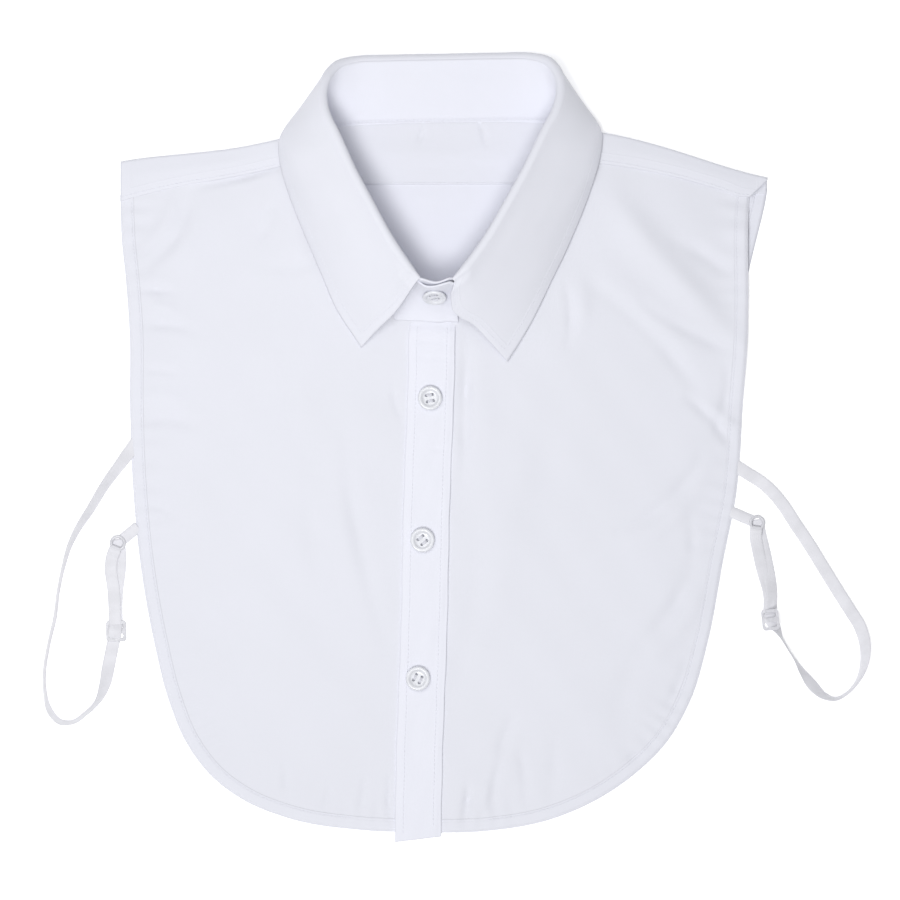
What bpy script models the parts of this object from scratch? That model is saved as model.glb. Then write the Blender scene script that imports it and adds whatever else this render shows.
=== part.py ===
"""A detachable shirt collar with a bib front and back, laid flat on its back with the collar buttoned.

Millimetres in the tables, metres in the meshes. +X is to the viewer's right, +Y towards the top of the
collar and +Z up from the surface that the garment lies on. X is 0 at the middle of the collar until laid()
places the piece. "left" and "right" are the viewer's, so the left front is the wearer's right one.
"""

import math
from collections import namedtuple

import bmesh
import bpy
import numpy as np
from mathutils import Matrix, Vector

MM = 0.001

# Walls, and the gaps between pieces that meet or lie on each other
PANEL_WALL = 1.0
COLLAR_WALL = 1.2
SEAM_GAP = 0.3

# Heights of the layers
FRONT_UNDERSIDE = 1.4
YOKE_OVER_LEAF = 1.6
YOKE_LIFT_FROM, YOKE_LIFT_TO = 137.5, 153.0
YOKE_LIFT_INSIDE, YOKE_LIFT_OUTSIDE = 88.0, 112.0
NECK_LIFT = 3.1
NECK_LIFT_REACH = 26.0

# Outline of the bib, down from each armhole's tip to the hem beside the placket
Place = namedtuple("Place", "x y")
LEFT_EDGE = (
    Place(-165.6, 128.0),
    Place(-164.1, 102.0),
    Place(-161.4, 81.6),
    Place(-158.4, 50.4),
    Place(-157.5, 19.0),
    Place(-153.9, -33.0),
    Place(-149.9, -64.0),
    Place(-141.5, -105.4),
    Place(-132.8, -136.3),
    Place(-123.8, -156.9),
    Place(-107.2, -177.2),
    Place(-92.2, -187.2),
    Place(-65.4, -196.8),
    Place(-34.0, -200.8),
    Place(-2.0, -201.6),
)
RIGHT_EDGE = (
    Place(161.6, 137.0),
    Place(161.0, 121.9),
    Place(162.2, 80.2),
    Place(162.3, 59.4),
    Place(161.1, 28.2),
    Place(158.5, -23.9),
    Place(153.1, -55.3),
    Place(146.5, -97.1),
    Place(138.2, -128.6),
    Place(127.2, -149.7),
    Place(106.5, -171.0),
    Place(90.7, -181.9),
    Place(66.1, -193.0),
    Place(34.0, -199.6),
    Place(-2.0, -201.6),
)
HEM_CORNER = 9  # the row of an edge where the side turns into the hem
SIDE_ROWS, HEM_COLUMNS = 14, 19
FRONT_ROWS, FRONT_COLUMNS = 20, 20
BACK_INSET = 3.0
# How far the back's right armhole shows past the front, and the heights between which that fades out
BACK_SHOWS = 9.0
BACK_SHOWS_FROM, BACK_SHOWS_TO = 70.0, 141.0

# Shoulders, left and right, where the yoke folds over: the tip of the fold, and the front seam below it
Shoulder = namedtuple("Shoulder", "tip_x tip_y seam_neck_y seam_middle_y seam_tip_x seam_tip_y")
SHOULDERS = (
    Shoulder(165.8, 143.0, 149.0, 134.2, 165.2, 122.2),
    Shoulder(170.3, 144.4, 147.0, 139.7, 161.5, 133.7),
)
NECK_POINT = Place(72.0, 163.6)
SEAM_MIDDLE_X = 128.0
YOKE_SEAM = 135.5
YOKE_LAP = 3.0
YOKE_NECK_SEAM = 1.0
NECK_SEAM = 1.6
FRONT_NECK = slice(2, 36)  # of 40 points along the neckline, those between the placket and the yoke's strip
# The yoke's front strip narrows towards the armhole from TIP_FROM on, and towards the neck from NECK_TO in
STRIP_TIP_FROM = 140.0
STRIP_NECK_IN = 2.6
STRIP_NECK_TO = 100.0

# Collar, from the centre of the back to the front end of the leaf, as lines in the middle of its walls. The
# core runs inside the roll where the leaf turns over the stand, the neck is the stand's lower edge, and the
# leaf passes the middle on its way to its outer edge. bow is how far the stand hollows inwards. The last two
# rows carry the stand alone, to where its ends lap.
Section = namedtuple("Section", "core neck middle edge bow")
COLLAR = (
    Section((0.0, 200.6, 6.0), (0.0, 167.5, 2.3), (0.0, 182.0, 0.6), (0.0, 157.5, 0.6), 0.0),
    Section((28.0, 200.6, 6.4), (27.0, 167.2, 2.3), (27.5, 182.0, 0.6), (26.0, 157.5, 0.6), 0.0),
    Section((46.0, 200.0, 8.6), (46.0, 166.6, 2.3), (47.0, 183.0, 0.8), (44.0, 157.6, 0.6), 0.0),
    Section((55.5, 196.8, 13.5), (57.0, 166.0, 2.4), (61.8, 188.8, 4.0), (58.0, 157.8, 0.6), 0.5),
    Section((60.2, 190.0, 18.5), (64.5, 165.2, 2.8), (67.8, 182.8, 7.0), (69.0, 158.6, 0.6), 1.0),
    Section((61.6, 182.0, 22.0), (69.5, 162.8, 4.2), (72.8, 176.2, 9.0), (77.8, 164.4, 1.2), 1.5),
    Section((60.0, 173.0, 25.0), (70.6, 158.0, 6.0), (74.4, 168.4, 13.0), (82.6, 161.6, 6.8), 2.0),
    Section((54.2, 161.0, 27.0), (67.7, 150.0, 6.3), (70.5, 157.6, 18.5), (83.4, 153.5, 3.0), 2.4),
    Section((45.8, 143.0, 28.0), (59.5, 135.0, 5.4), (63.5, 138.5, 19.0), (79.2, 135.0, 3.0), 2.8),
    Section((37.2, 127.0, 28.4), (49.5, 119.0, 5.2), (54.6, 119.5, 18.4), (70.8, 112.5, 3.0), 3.0),
    Section((26.2, 107.5, 28.6), (38.0, 98.5, 5.2), (42.8, 96.5, 18.0), (60.4, 89.0, 3.0), 3.2),
    Section((15.8, 92.4, 28.8), (26.5, 80.5, 5.2), (27.8, 77.0, 17.5), (49.0, 64.0, 3.0), 3.3),
    Section((9.6, 84.6, 28.8), (14.5, 68.6, 5.3), (17.4, 67.8, 15.8), (38.9, 47.4, 3.0), 3.4),
    Section((0.0, 80.4, 28.4), (0.0, 64.8, 5.3), (0.0, 60.0, 16.0), (10.0, 40.0, 3.0), 3.4),
    Section((-10.0, 82.6, 28.4), (-12.0, 66.6, 5.3), (-12.0, 61.0, 16.0), (-20.0, 42.0, 3.0), 3.4),
)
LEAF_SECTIONS = 13
SHOULDER_SECTION = 5  # the row beside the yoke's fold
ROLL_RADIUS = 2.2
STAND_LAP = 1.6
LAP_NEAR, LAP_FAR = 10.5, 19.0
STAND_CORNER = 9.0
STAND_CORNER_DROP = 0.3  # share of the height that its rounded ends lose
STAND_COLUMNS, LEAF_COLUMNS, FINE_COLUMNS = 61, 57, 481

# Large soft folds of the fronts, as ridges along lines
Fold = namedtuple("Fold", "from_x from_y to_x to_y width height")
FRONT_FOLDS = (
    Fold(91.0, 120.0, 156.0, 62.0, 10.0, 1.7),
    Fold(90.0, 90.0, 152.0, 40.0, 9.0, 1.3),
    Fold(146.0, 12.0, 104.0, -40.0, 10.0, 1.3),
    Fold(132.0, -62.0, 104.0, -120.0, 13.0, 1.1),
    Fold(-124.0, 118.0, -148.0, 78.0, 10.0, 1.4),
    Fold(-64.0, 60.0, -80.0, -40.0, 14.0, 1.0),
    Fold(48.0, 20.0, 36.0, -80.0, 12.0, 1.0),
)

# Placket on the wearer's right front, with its buttons
PLACKET_WIDTH = 24.0
PLACKET_MIDDLE = -1.5
PLACKET_TOP = 63.2
PLACKET_FOOT = Place(-206.6, -203.0)  # heights of the foot's left and right corner
BUTTON_PLACES = (Place(-1.6, 24.5), Place(-3.4, -49.3), Place(-3.7, -121.2))
COLLAR_BUTTON_X = -0.9
COLLAR_BUTTON_SHARE = 0.66  # of the stand's height
# Radius and height down a button's outer side, from the middle of its dish to the middle of its underside
BUTTON_PROFILE = (
    (0.0, 1.5),
    (3.7, 1.5),
    (4.6, 2.3),
    (5.9, 2.4),
    (6.6, 1.7),
    (6.4, 0.9),
    (4.6, 0.2),
    (0.0, 0.2),
)
BUTTON_HOLE_RADIUS = 0.9
BUTTON_HOLE_FROM_MIDDLE = 1.8
BUTTON_SEAT = 0.35
BUTTON_STEPS = 20

# Elastic side straps. lean is 0 where the strap lies on its face and 90 where it stands on its edge
Bend = namedtuple("Bend", "x y lean")
STRAP_WIDTH = 7.0
STRAP_WALL = 0.9
RETURN_WIDTH = 7.5
RETURN_WALL = 1.9
TAB_WIDTH = 6.0
LEFT_STRAP = (
    Bend(-156.3, -7.0, 0.0),
    Bend(-169.1, -25.5, 0.0),
    Bend(-176.2, -38.2, 5.0),
    Bend(-182.2, -48.1, 20.0),
    Bend(-186.2, -56.7, 50.0),
    Bend(-189.6, -69.5, 62.0),
    Bend(-191.8, -82.2, 70.0),
    Bend(-193.0, -94.9, 70.0),
    Bend(-195.8, -108.8, 70.0),
    Bend(-197.7, -124.7, 70.0),
    Bend(-196.9, -135.1, 66.0),
    Bend(-193.9, -144.3, 55.0),
    Bend(-188.8, -149.1, 50.0),
    Bend(-182.5, -149.1, 60.0),
    Bend(-175.2, -144.1, 60.0),
    Bend(-170.1, -138.7, 52.0),
    Bend(-166.2, -129.1, 32.0),
    Bend(-164.8, -120.6, 8.0),
    Bend(-163.6, -113.4, 0.0),
    Bend(-162.5, -107.9, 0.0),
)
RIGHT_STRAP = (
    Bend(160.0, -7.2, 0.0),
    Bend(169.3, -12.6, 0.0),
    Bend(175.8, -17.4, 0.0),
    Bend(182.4, -24.5, 0.0),
    Bend(190.0, -35.2, 0.0),
    Bend(197.6, -45.9, 0.0),
    Bend(205.2, -57.5, 0.0),
    Bend(212.8, -69.1, 0.0),
    Bend(219.4, -78.9, 4.0),
    Bend(225.2, -87.9, 14.0),
    Bend(227.9, -96.4, 24.0),
    Bend(228.1, -105.1, 34.0),
    Bend(226.3, -112.4, 50.0),
    Bend(223.3, -118.0, 64.0),
    Bend(218.9, -122.8, 68.0),
    Bend(213.5, -125.6, 66.0),
    Bend(207.1, -124.7, 54.0),
    Bend(201.6, -120.4, 38.0),
    Bend(195.9, -113.3, 50.0),
    Bend(191.1, -105.3, 66.0),
    Bend(187.0, -99.6, 50.0),
    Bend(183.2, -97.0, 20.0),
    Bend(180.3, -92.9, 0.0),
)
LEFT_RETURN = (
    Bend(-161.6, -95.4, 0.0),
    Bend(-162.4, -80.0, 0.0),
    Bend(-162.6, -68.0, 0.0),
    Bend(-162.2, -60.4, 0.0),
)
RIGHT_RETURN = (
    Bend(177.6, -79.3, 0.0),
    Bend(177.6, -72.8, 0.0),
    Bend(175.4, -59.8, 10.0),
    Bend(172.6, -48.5, 4.0),
    Bend(171.0, -40.4, 0.0),
)
LEFT_TAB = (Bend(-154.5, -49.4, 0.0), Bend(-157.9, -52.3, 0.0))
RIGHT_TAB = (Bend(159.0, -31.1, 0.0), Bend(165.6, -33.7, 0.0))
Ring = namedtuple("Ring", "x y")
LEFT_RING = Ring(-161.6, -55.5)
RIGHT_RING = Ring(170.2, -35.5)
RING_RADIUS = 3.9
RING_WIRE = 0.7
Slider = namedtuple("Slider", "x y turn")
LEFT_SLIDER = Slider(-161.2, -101.2, 3.0)
RIGHT_SLIDER = Slider(178.4, -85.7, 8.0)
SLIDER_WIDTH, SLIDER_LENGTH, SLIDER_WALL = 10.5, 11.0, 1.3
SLIDER_SLOT = Place(7.4, 2.6)
SLIDER_SLOT_OFFSET = 2.5
SLIDER_CORNER = 1.6
SLIDER_SLOT_CORNER = 1.2

# How the garment lies: the collar turned a little anticlockwise against the bib, and all a little to the left
LAY_SLOPE = 0.048
LAY_FROM, LAY_TO = 90.0, 165.0
LAY_INSIDE, LAY_OUTSIDE = 88.0, 166.0
LAY_LEFT = 1.6

WHITE_CLOTH = (0.83, 0.835, 0.87)
WHITE_ELASTIC = (0.84, 0.84, 0.85)
CLEAR_WHITE = (0.86, 0.87, 0.9)


def smoothstep(value, start, end):
    """0 before start, 1 after end and smooth between."""
    share = np.clip((value - start) / (end - start), 0.0, 1.0)
    return share * share * (3.0 - 2.0 * share)


def unit(vectors):
    """The vectors at length 1."""
    return vectors / np.linalg.norm(vectors, axis=-1, keepdims=True)


def share_of(points):
    """Each point's share of the length along its line."""
    steps = np.linalg.norm(np.diff(points, axis=0), axis=1)
    return np.concatenate([[0.0], np.cumsum(steps)]) / steps.sum()


def along_curve(rows, at):
    """The smooth curve through the rows at shares of its length: cubic spans, with slopes from both sides."""
    rows = np.array(rows, float)
    knots = share_of(rows)
    slopes = np.gradient(rows, knots, axis=0)
    at = np.asarray(at)
    span = np.clip(np.searchsorted(knots, at) - 1, 0, len(rows) - 2)
    length = (knots[span + 1] - knots[span])[:, None]
    t = (at - knots[span])[:, None] / length
    return (
        (2 * t**3 - 3 * t**2 + 1) * rows[span]
        + (t**3 - 2 * t**2 + t) * length * slopes[span]
        + (3 * t**2 - 2 * t**3) * rows[span + 1]
        + (t**3 - t**2) * length * slopes[span + 1]
    )


def even(count):
    """Shares from 0 to 1."""
    return np.linspace(0.0, 1.0, count)


def laid(points):
    """The points as the garment lies: the collar turned a little against the bib, and all to the left."""
    points = np.array(points, float)
    x, y = points[..., 0].copy(), points[..., 1]
    near = 1.0 - smoothstep(np.abs(x), LAY_INSIDE, LAY_OUTSIDE)
    points[..., 1] = y + LAY_SLOPE * x * near * smoothstep(y, LAY_FROM, LAY_TO)
    points[..., 0] = x - LAY_LEFT
    return points


def patch(top, bottom, first, last):
    """The surface between four edges. top and bottom run from the first side to the last, which run down."""
    u = share_of(top)[None, :, None]
    v = share_of(last)[:, None, None]
    across = (1 - v) * top[None] + v * bottom[None]
    down = (1 - u) * first[:, None] + u * last[:, None]
    corners = (1 - v) * ((1 - u) * top[0] + u * top[-1]) + v * ((1 - u) * bottom[0] + u * bottom[-1])
    return across + down - corners


def neckline(count):
    """Points in plan along the right half of the front neckline, from the centre front up to the shoulder."""
    sections = COLLAR[LEAF_SECTIONS : SHOULDER_SECTION : -1]
    return along_curve([section.neck[:2] for section in sections], even(count))


NECKLINE = neckline(60)


def from_neckline(x, y):
    """How far each place is from the front neckline, in plan."""
    places = np.stack([np.abs(x), y], axis=-1)[..., None, :]
    return np.linalg.norm(places - NECKLINE, axis=-1).min(axis=-1)


def fold_height(x, y):
    """The folds of the fronts: each is a ridge along a line, lower towards its ends."""
    total = np.zeros(np.shape(x))
    for fold in FRONT_FOLDS:
        start = np.array([fold.from_x, fold.from_y])
        run = np.array([fold.to_x, fold.to_y]) - start
        offset = np.stack([x, y], axis=-1) - start
        share = np.clip(offset @ run / (run @ run), 0.0, 1.0)
        away = np.linalg.norm(offset - share[..., None] * run, axis=-1)
        total += fold.height * np.exp(-((away / fold.width) ** 2)) * np.sin(math.pi * (0.12 + 0.76 * share))
    return total


def front_underside(x, y):
    """The height of the underside of the fronts: on the back, and lifted by the collar and by the folds."""
    lift = NECK_LIFT * np.exp(-((from_neckline(x, y) / NECK_LIFT_REACH) ** 2))
    return FRONT_UNDERSIDE + lift + fold_height(x, y)


def yoke_underside(x, y):
    """The height of the underside of the yoke's back: on the surface, and over the leaf folded under it."""
    near = 1.0 - smoothstep(np.abs(x), YOKE_LIFT_INSIDE, YOKE_LIFT_OUTSIDE)
    return YOKE_OVER_LEAF * near * smoothstep(y, YOKE_LIFT_FROM, YOKE_LIFT_TO)


def front_seam(x):
    """The height in plan of the seam between the yoke and the fronts."""
    left, right = (
        np.interp(
            np.abs(x),
            [NECK_POINT.x, SEAM_MIDDLE_X, shoulder.seam_tip_x],
            [shoulder.seam_neck_y, shoulder.seam_middle_y, shoulder.seam_tip_y],
        )
        for shoulder in SHOULDERS
    )
    return np.where(np.asarray(x) < 0.0, left, right)


def with_height(plan, height):
    """Points in plan with their height as a third coordinate."""
    return np.concatenate([plan[..., :2], np.asarray(height)[..., None]], axis=-1)


def collection(name):
    """A new collection in the scene."""
    made = bpy.data.collections.new(name)
    bpy.context.scene.collection.children.link(made)
    return made


def material(name, colour, roughness):
    """A Principled material for cloth, elastic or plastic."""
    made = bpy.data.materials.new(name)
    made.use_nodes = True
    shader = made.node_tree.nodes["Principled BSDF"]
    shader.inputs["Base Color"].default_value = (*colour, 1.0)
    shader.inputs["Roughness"].default_value = roughness
    shader.inputs["Metallic"].default_value = 0.0
    return made


def finish(name, mesh, look, parts):
    """An object with the mesh, shaded smooth but for its sharp edges."""
    mesh.materials.append(look)
    mesh.shade_smooth()
    mesh.set_sharp_from_angle(angle=math.radians(50.0))
    made = bpy.data.objects.new(name, mesh)
    parts.objects.link(made)
    return made


def cloth(name, points, wall, look, parts, keep=None):
    """A wall of cloth, half on each side of a grid of points. keep says which faces of the grid are cloth."""
    rows, columns = points.shape[:2]
    first = np.arange(rows * columns).reshape(rows, columns)
    faces = np.stack([first[:-1, :-1], first[1:, :-1], first[1:, 1:], first[:-1, 1:]], axis=-1)
    faces = faces.reshape(-1, 4) if keep is None else faces[keep]
    used, faces = np.unique(faces, return_inverse=True)
    mesh = bpy.data.meshes.new(name)
    corners = laid(points).reshape(-1, 3)[used] * MM
    mesh.from_pydata(corners.tolist(), [], faces.reshape(-1, 4).tolist())
    made = finish(name, mesh, look, parts)
    solid = made.modifiers.new("wall", "SOLIDIFY")
    solid.thickness = wall * MM
    solid.offset = 0.0
    solid.use_even_offset = True
    return made


def edge_curve(rows, count):
    """A smooth outline through the rows, in plan."""
    return along_curve(rows, even(count))


def inset(points):
    """An outline moved inwards: towards the centre line at the sides and up at the hem."""
    x, y = points[:, 0], points[:, 1]
    side = BACK_INSET * smoothstep(np.abs(x), 20.0, 120.0) * np.sign(x)
    up = BACK_INSET * (1.0 - smoothstep(y, -190.0, -120.0))
    return np.stack([x - side, y + up], axis=1)


def back_panel(look, parts):
    """The back, flat on the surface. Its right armhole shows a little past the front's."""
    top_y = YOKE_SEAM - SEAM_GAP
    left = inset(edge_curve([Place(LEFT_EDGE[0].x, top_y), *LEFT_EDGE[1 : HEM_CORNER + 1]], SIDE_ROWS))
    right = inset(edge_curve([Place(RIGHT_EDGE[0].x, top_y), *RIGHT_EDGE[1 : HEM_CORNER + 1]], SIDE_ROWS))
    right[:, 0] += (BACK_SHOWS + BACK_INSET) * smoothstep(right[:, 1], BACK_SHOWS_FROM, BACK_SHOWS_TO)
    hem = inset(edge_curve([*LEFT_EDGE[HEM_CORNER:], *RIGHT_EDGE[-2 : HEM_CORNER - 1 : -1]], HEM_COLUMNS))
    top = np.linspace(left[0], right[0], HEM_COLUMNS)
    plan = patch(top, hem, left, right)
    height = np.full(plan.shape[:2], PANEL_WALL / 2)
    cloth("back_panel", with_height(plan, height), PANEL_WALL, look, parts)


def front(name, side, edge, look, parts):
    """A front, from the neckline and the yoke's seam to the hem and from the placket to the armhole."""
    neck = neckline(40)
    inwards = unit(np.stack([-np.gradient(neck[:, 1]), np.gradient(neck[:, 0])], axis=1))
    neck = (neck - NECK_SEAM * inwards)[FRONT_NECK]
    inner_x = PLACKET_MIDDLE + side * SEAM_GAP / 2
    shoulder_x = np.linspace(NECK_POINT.x, abs(edge[0].x), 6)
    seam = np.stack([side * shoulder_x, front_seam(side * shoulder_x) + YOKE_LAP], axis=1)
    top = np.concatenate([[[inner_x, neck[0, 1] - SEAM_GAP]], neck * [side, 1.0], seam])
    top = np.stack([np.interp(even(FRONT_COLUMNS), share_of(top), top[:, axis]) for axis in (0, 1)], axis=1)
    outer = edge_curve([Place(*top[-1]), *edge[1 : HEM_CORNER + 1]], FRONT_ROWS)
    hem = edge_curve([Place(inner_x, edge[-1].y), *edge[-2 : HEM_CORNER - 1 : -1]], FRONT_COLUMNS)
    inner = np.linspace(top[0], hem[0], FRONT_ROWS)
    plan = patch(top, hem, inner, outer)
    height = front_underside(plan[..., 0], plan[..., 1]) + PANEL_WALL / 2
    cloth(name, with_height(plan, height), PANEL_WALL, look, parts)


def fold_line(x):
    """The outermost line of the yoke's fold at each shoulder, in plan."""
    left, right = (
        np.interp(np.abs(x), [NECK_POINT.x, s.tip_x], [NECK_POINT.y, s.tip_y]) for s in SHOULDERS
    )
    return np.where(np.asarray(x) < 0.0, left, right)


def yoke(look, parts):
    """The yoke: flat behind the neck, folded over at the shoulders, and lapping over the fronts' tops."""
    back_rows, fold_rows, strip_rows = 6, 4, 4
    wing, centre = 11, 13
    left, right = SHOULDERS
    shares = even(wing)
    plan_x = np.concatenate(
        [
            -left.tip_x + (left.tip_x - NECK_POINT.x) * shares[:-1],
            np.linspace(-NECK_POINT.x, NECK_POINT.x, centre),
            NECK_POINT.x + (right.tip_x - NECK_POINT.x) * shares[1:],
        ]
    )
    back_neck = along_curve([section.neck[:2] for section in COLLAR[: SHOULDER_SECTION + 1]], even(30))
    neck_y = np.interp(np.abs(plan_x), back_neck[:, 0], back_neck[:, 1]) - YOKE_NECK_SEAM
    is_wing = np.abs(plan_x) >= NECK_POINT.x - 0.01
    outer_y = fold_line(plan_x) - PANEL_WALL / 2
    under = yoke_underside(plan_x, outer_y) + PANEL_WALL / 2
    over = front_underside(plan_x, outer_y) + 1.5 * PANEL_WALL + SEAM_GAP
    radius = (over - under) / 2
    top_y = np.where(is_wing, outer_y - radius, neck_y)
    tip_in = np.where(plan_x > 0.0, right.tip_x - right.seam_tip_x, left.tip_x - left.seam_tip_x)
    tip_in = tip_in * smoothstep(np.abs(plan_x), STRIP_TIP_FROM, right.tip_x)
    neck_in = STRIP_NECK_IN * (1.0 - smoothstep(np.abs(plan_x), NECK_POINT.x, STRIP_NECK_TO))
    rows = []
    for share in even(back_rows + 1)[:-1]:
        y = YOKE_SEAM + share * (top_y - YOKE_SEAM)
        rows.append(np.stack([plan_x, y, yoke_underside(plan_x, y) + PANEL_WALL / 2], axis=1))
    for share in even(fold_rows + 1):
        angle = math.pi * share
        y = top_y + np.where(is_wing, radius * math.sin(angle), 0.01 * share)
        z = under + radius * (1.0 - math.cos(angle))
        z = np.where(is_wing, z, yoke_underside(plan_x, y) + PANEL_WALL / 2)
        rows.append(np.stack([plan_x, y, z], axis=1))
    for share in even(strip_rows + 1)[1:]:
        y = top_y + share * (front_seam(plan_x) - top_y)
        x = plan_x - np.sign(plan_x) * share * (tip_in + neck_in)
        rows.append(np.stack([x, y, front_underside(x, y) + 1.5 * PANEL_WALL + SEAM_GAP], axis=1))
    points = np.array(rows)
    keep = np.ones((points.shape[0] - 1, points.shape[1] - 1), bool)
    keep[back_rows:, wing - 1 : wing + centre - 2] = False
    cloth("yoke", points, PANEL_WALL, look, parts, keep)


def whole_collar(count, sections):
    """The core, neck, middle, edge and bow at even shares from the left front end to the right one."""
    half = np.array([[*s.core, *s.neck, *s.middle, *s.edge, s.bow] for s in sections])
    other = half[:0:-1].copy()
    other[:, [0, 3, 6, 9]] *= -1.0
    lines = along_curve(np.concatenate([other, half]), even(count))
    return lines[:, 0:3], lines[:, 3:6], lines[:, 6:9], lines[:, 9:12], lines[:, 12]


def roll_frame(core, neck, middle):
    """At each section, the way down from the roll and the way from the stand's side to the leaf's."""
    along = unit(np.gradient(core, axis=0))
    down = unit(neck - core) + unit(middle - core)
    down = unit(down - (down * along).sum(axis=1, keepdims=True) * along)
    return down, np.cross(along, down)


def collar_stand(look, parts):
    """The stand, from the neckline up to the roll. Its left end laps over its right one."""
    core, neck, middle, _, bow = whole_collar(STAND_COLUMNS, COLLAR)
    down, outwards = roll_frame(core, neck, middle)
    lap = (1.0 - smoothstep(core[:, 0], LAP_NEAR, LAP_FAR)) * (even(STAND_COLUMNS) > 0.7)
    shift = (-STAND_LAP * lap)[:, None] * outwards
    top = core - ROLL_RADIUS * outwards + shift
    foot = neck + shift
    reach = share_of(core) * np.linalg.norm(np.diff(core, axis=0), axis=1).sum()
    to_end = np.minimum(reach, reach[-1] - reach)
    corner = 1.0 - STAND_CORNER_DROP * (1.0 - np.clip(to_end / STAND_CORNER, 0.0, 1.0)) ** 2
    rows = []
    for share in even(6):
        t = (share * corner)[:, None]
        rows.append((1 - t) * foot + t * top - 4 * bow[:, None] * t * (1 - t) * outwards)
    cloth("collar_stand", np.array(rows), COLLAR_WALL, look, parts)


def top_of_bib(x, y):
    """The height of the uppermost layer beside the collar: a front, or the yoke where that laps over it."""
    seam = front_seam(x)
    yoke_on_top = smoothstep(y, seam - 14.0, seam - YOKE_LAP)
    return front_underside(x, y) + PANEL_WALL + (SEAM_GAP + PANEL_WALL) * yoke_on_top


def collar_leaf(look, parts):
    """The leaf, from the stand's upper edge round the roll and down to the bib or, behind, to the surface."""
    core, neck, middle, edge, _ = whole_collar(LEAF_COLUMNS, COLLAR[:LEAF_SECTIONS])
    down, outwards = roll_frame(core, neck, middle)
    in_front = edge[:, 2] > 2.2
    rest = np.where(in_front, top_of_bib(edge[:, 0], edge[:, 1]) + SEAM_GAP, 0.0) + COLLAR_WALL / 2
    edge[:, 2] = np.maximum(edge[:, 2], rest)
    rows = []
    seam = SEAM_GAP / ROLL_RADIUS
    for angle in np.linspace(seam, math.pi, 6):
        rows.append(core - ROLL_RADIUS * (math.cos(angle) * outwards + math.sin(angle) * down))
    start = rows[-1]
    leaving = start + 0.55 * np.linalg.norm(middle - start, axis=1, keepdims=True) * down
    arriving = (8 * middle - start - 3 * leaving - edge) / 3
    for t in even(8)[1:]:
        curve = (1 - t) ** 3 * start + 3 * t * (1 - t) ** 2 * leaving
        curve += 3 * t**2 * (1 - t) * arriving + t**3 * edge
        curve[:, 2] = np.maximum(curve[:, 2], COLLAR_WALL / 2)
        rows.append(curve)
    cloth("collar_leaf", np.array(rows), COLLAR_WALL, look, parts)


def placket(look, parts):
    """The placket, lying on both fronts and reaching a little past the hem."""
    across = PLACKET_MIDDLE + PLACKET_WIDTH * (even(5) - 0.5)
    foot = np.interp(even(5), [0.0, 1.0], PLACKET_FOOT)
    down = even(31)[:, None]
    y = PLACKET_TOP + down * (foot - PLACKET_TOP)
    x = np.broadcast_to(across, y.shape)
    z = front_underside(x, y) + 1.5 * PANEL_WALL + SEAM_GAP
    cloth("placket", np.stack([x, y, z], axis=-1), PANEL_WALL, look, parts)


def button_mesh(name):
    """A turned button, with the run of its profile down its outer side."""
    profile = [Vector((radius * MM, 0.0, height * MM)) for radius, height in BUTTON_PROFILE]
    mesh = bpy.data.meshes.new(name)
    mesh.from_pydata(profile, [(i, i + 1) for i in range(len(profile) - 1)], [])
    return mesh


def button(name, place, look, parts, cutters):
    """A four-hole button at a place, which is the matrix of the middle of its underside."""
    made = bpy.data.objects.new(name, button_mesh(name))
    made.data.materials.append(look)
    parts.objects.link(made)
    turned = made.modifiers.new("turned", "SCREW")
    turned.steps = turned.render_steps = BUTTON_STEPS
    turned.use_merge_vertices = True
    turned.merge_threshold = 1e-5
    cutter = bmesh.new()
    for i in range(4):
        turn = Matrix.Rotation(math.pi * (0.25 + 0.5 * i), 4, "Z")
        spot = turn @ Matrix.Translation((BUTTON_HOLE_FROM_MIDDLE * MM, 0.0, MM))
        bmesh.ops.create_cone(
            cutter,
            cap_ends=True,
            segments=8,
            radius1=BUTTON_HOLE_RADIUS * MM,
            radius2=BUTTON_HOLE_RADIUS * MM,
            depth=6 * MM,
            matrix=spot,
        )
    holes = bpy.data.objects.new(name + "_holes", bpy.data.meshes.new(name + "_holes"))
    cutter.to_mesh(holes.data)
    cutter.free()
    cutters.objects.link(holes)
    holes.hide_render = True
    holes.display_type = "WIRE"
    cut = made.modifiers.new("holes", "BOOLEAN")
    cut.object = holes
    cut.operation = "DIFFERENCE"
    made.matrix_world = holes.matrix_world = place


def buttons(look, parts, cutters):
    """Three buttons on the placket and one on the lapped end of the stand."""
    for number, spot in enumerate(BUTTON_PLACES, start=1):
        top = front_underside(spot.x, spot.y) + 2 * PANEL_WALL + SEAM_GAP
        place = laid([spot.x, spot.y, top + BUTTON_SEAT - BUTTON_PROFILE[-1][1]]) * MM
        button(f"placket_button_{number}", Matrix.Translation(Vector(place)), look, parts, cutters)
    core, neck, middle, _, bow = whole_collar(FINE_COLUMNS, COLLAR)
    down, outwards = roll_frame(core, neck, middle)
    column = int(np.argmin(np.abs(core[: FINE_COLUMNS // 3, 0] - COLLAR_BUTTON_X)))
    top = core[column] - ROLL_RADIUS * outwards[column]
    share = COLLAR_BUTTON_SHARE
    middle_of_wall = (1 - share) * neck[column] + share * top
    middle_of_wall = middle_of_wall - 4 * bow[column] * share * (1 - share) * outwards[column]
    slope = top - neck[column] - 4 * bow[column] * (1 - 2 * share) * outwards[column]
    normal = np.cross([1.0, 0.0, 0.0], unit(slope))
    seat = middle_of_wall + (COLLAR_WALL / 2 + BUTTON_SEAT) * unit(normal)
    turn = Vector((0, 0, 1)).rotation_difference(Vector(normal)).to_matrix().to_4x4()
    button("collar_button", Matrix.Translation(Vector(laid(seat) * MM)) @ turn, look, parts, cutters)


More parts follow.
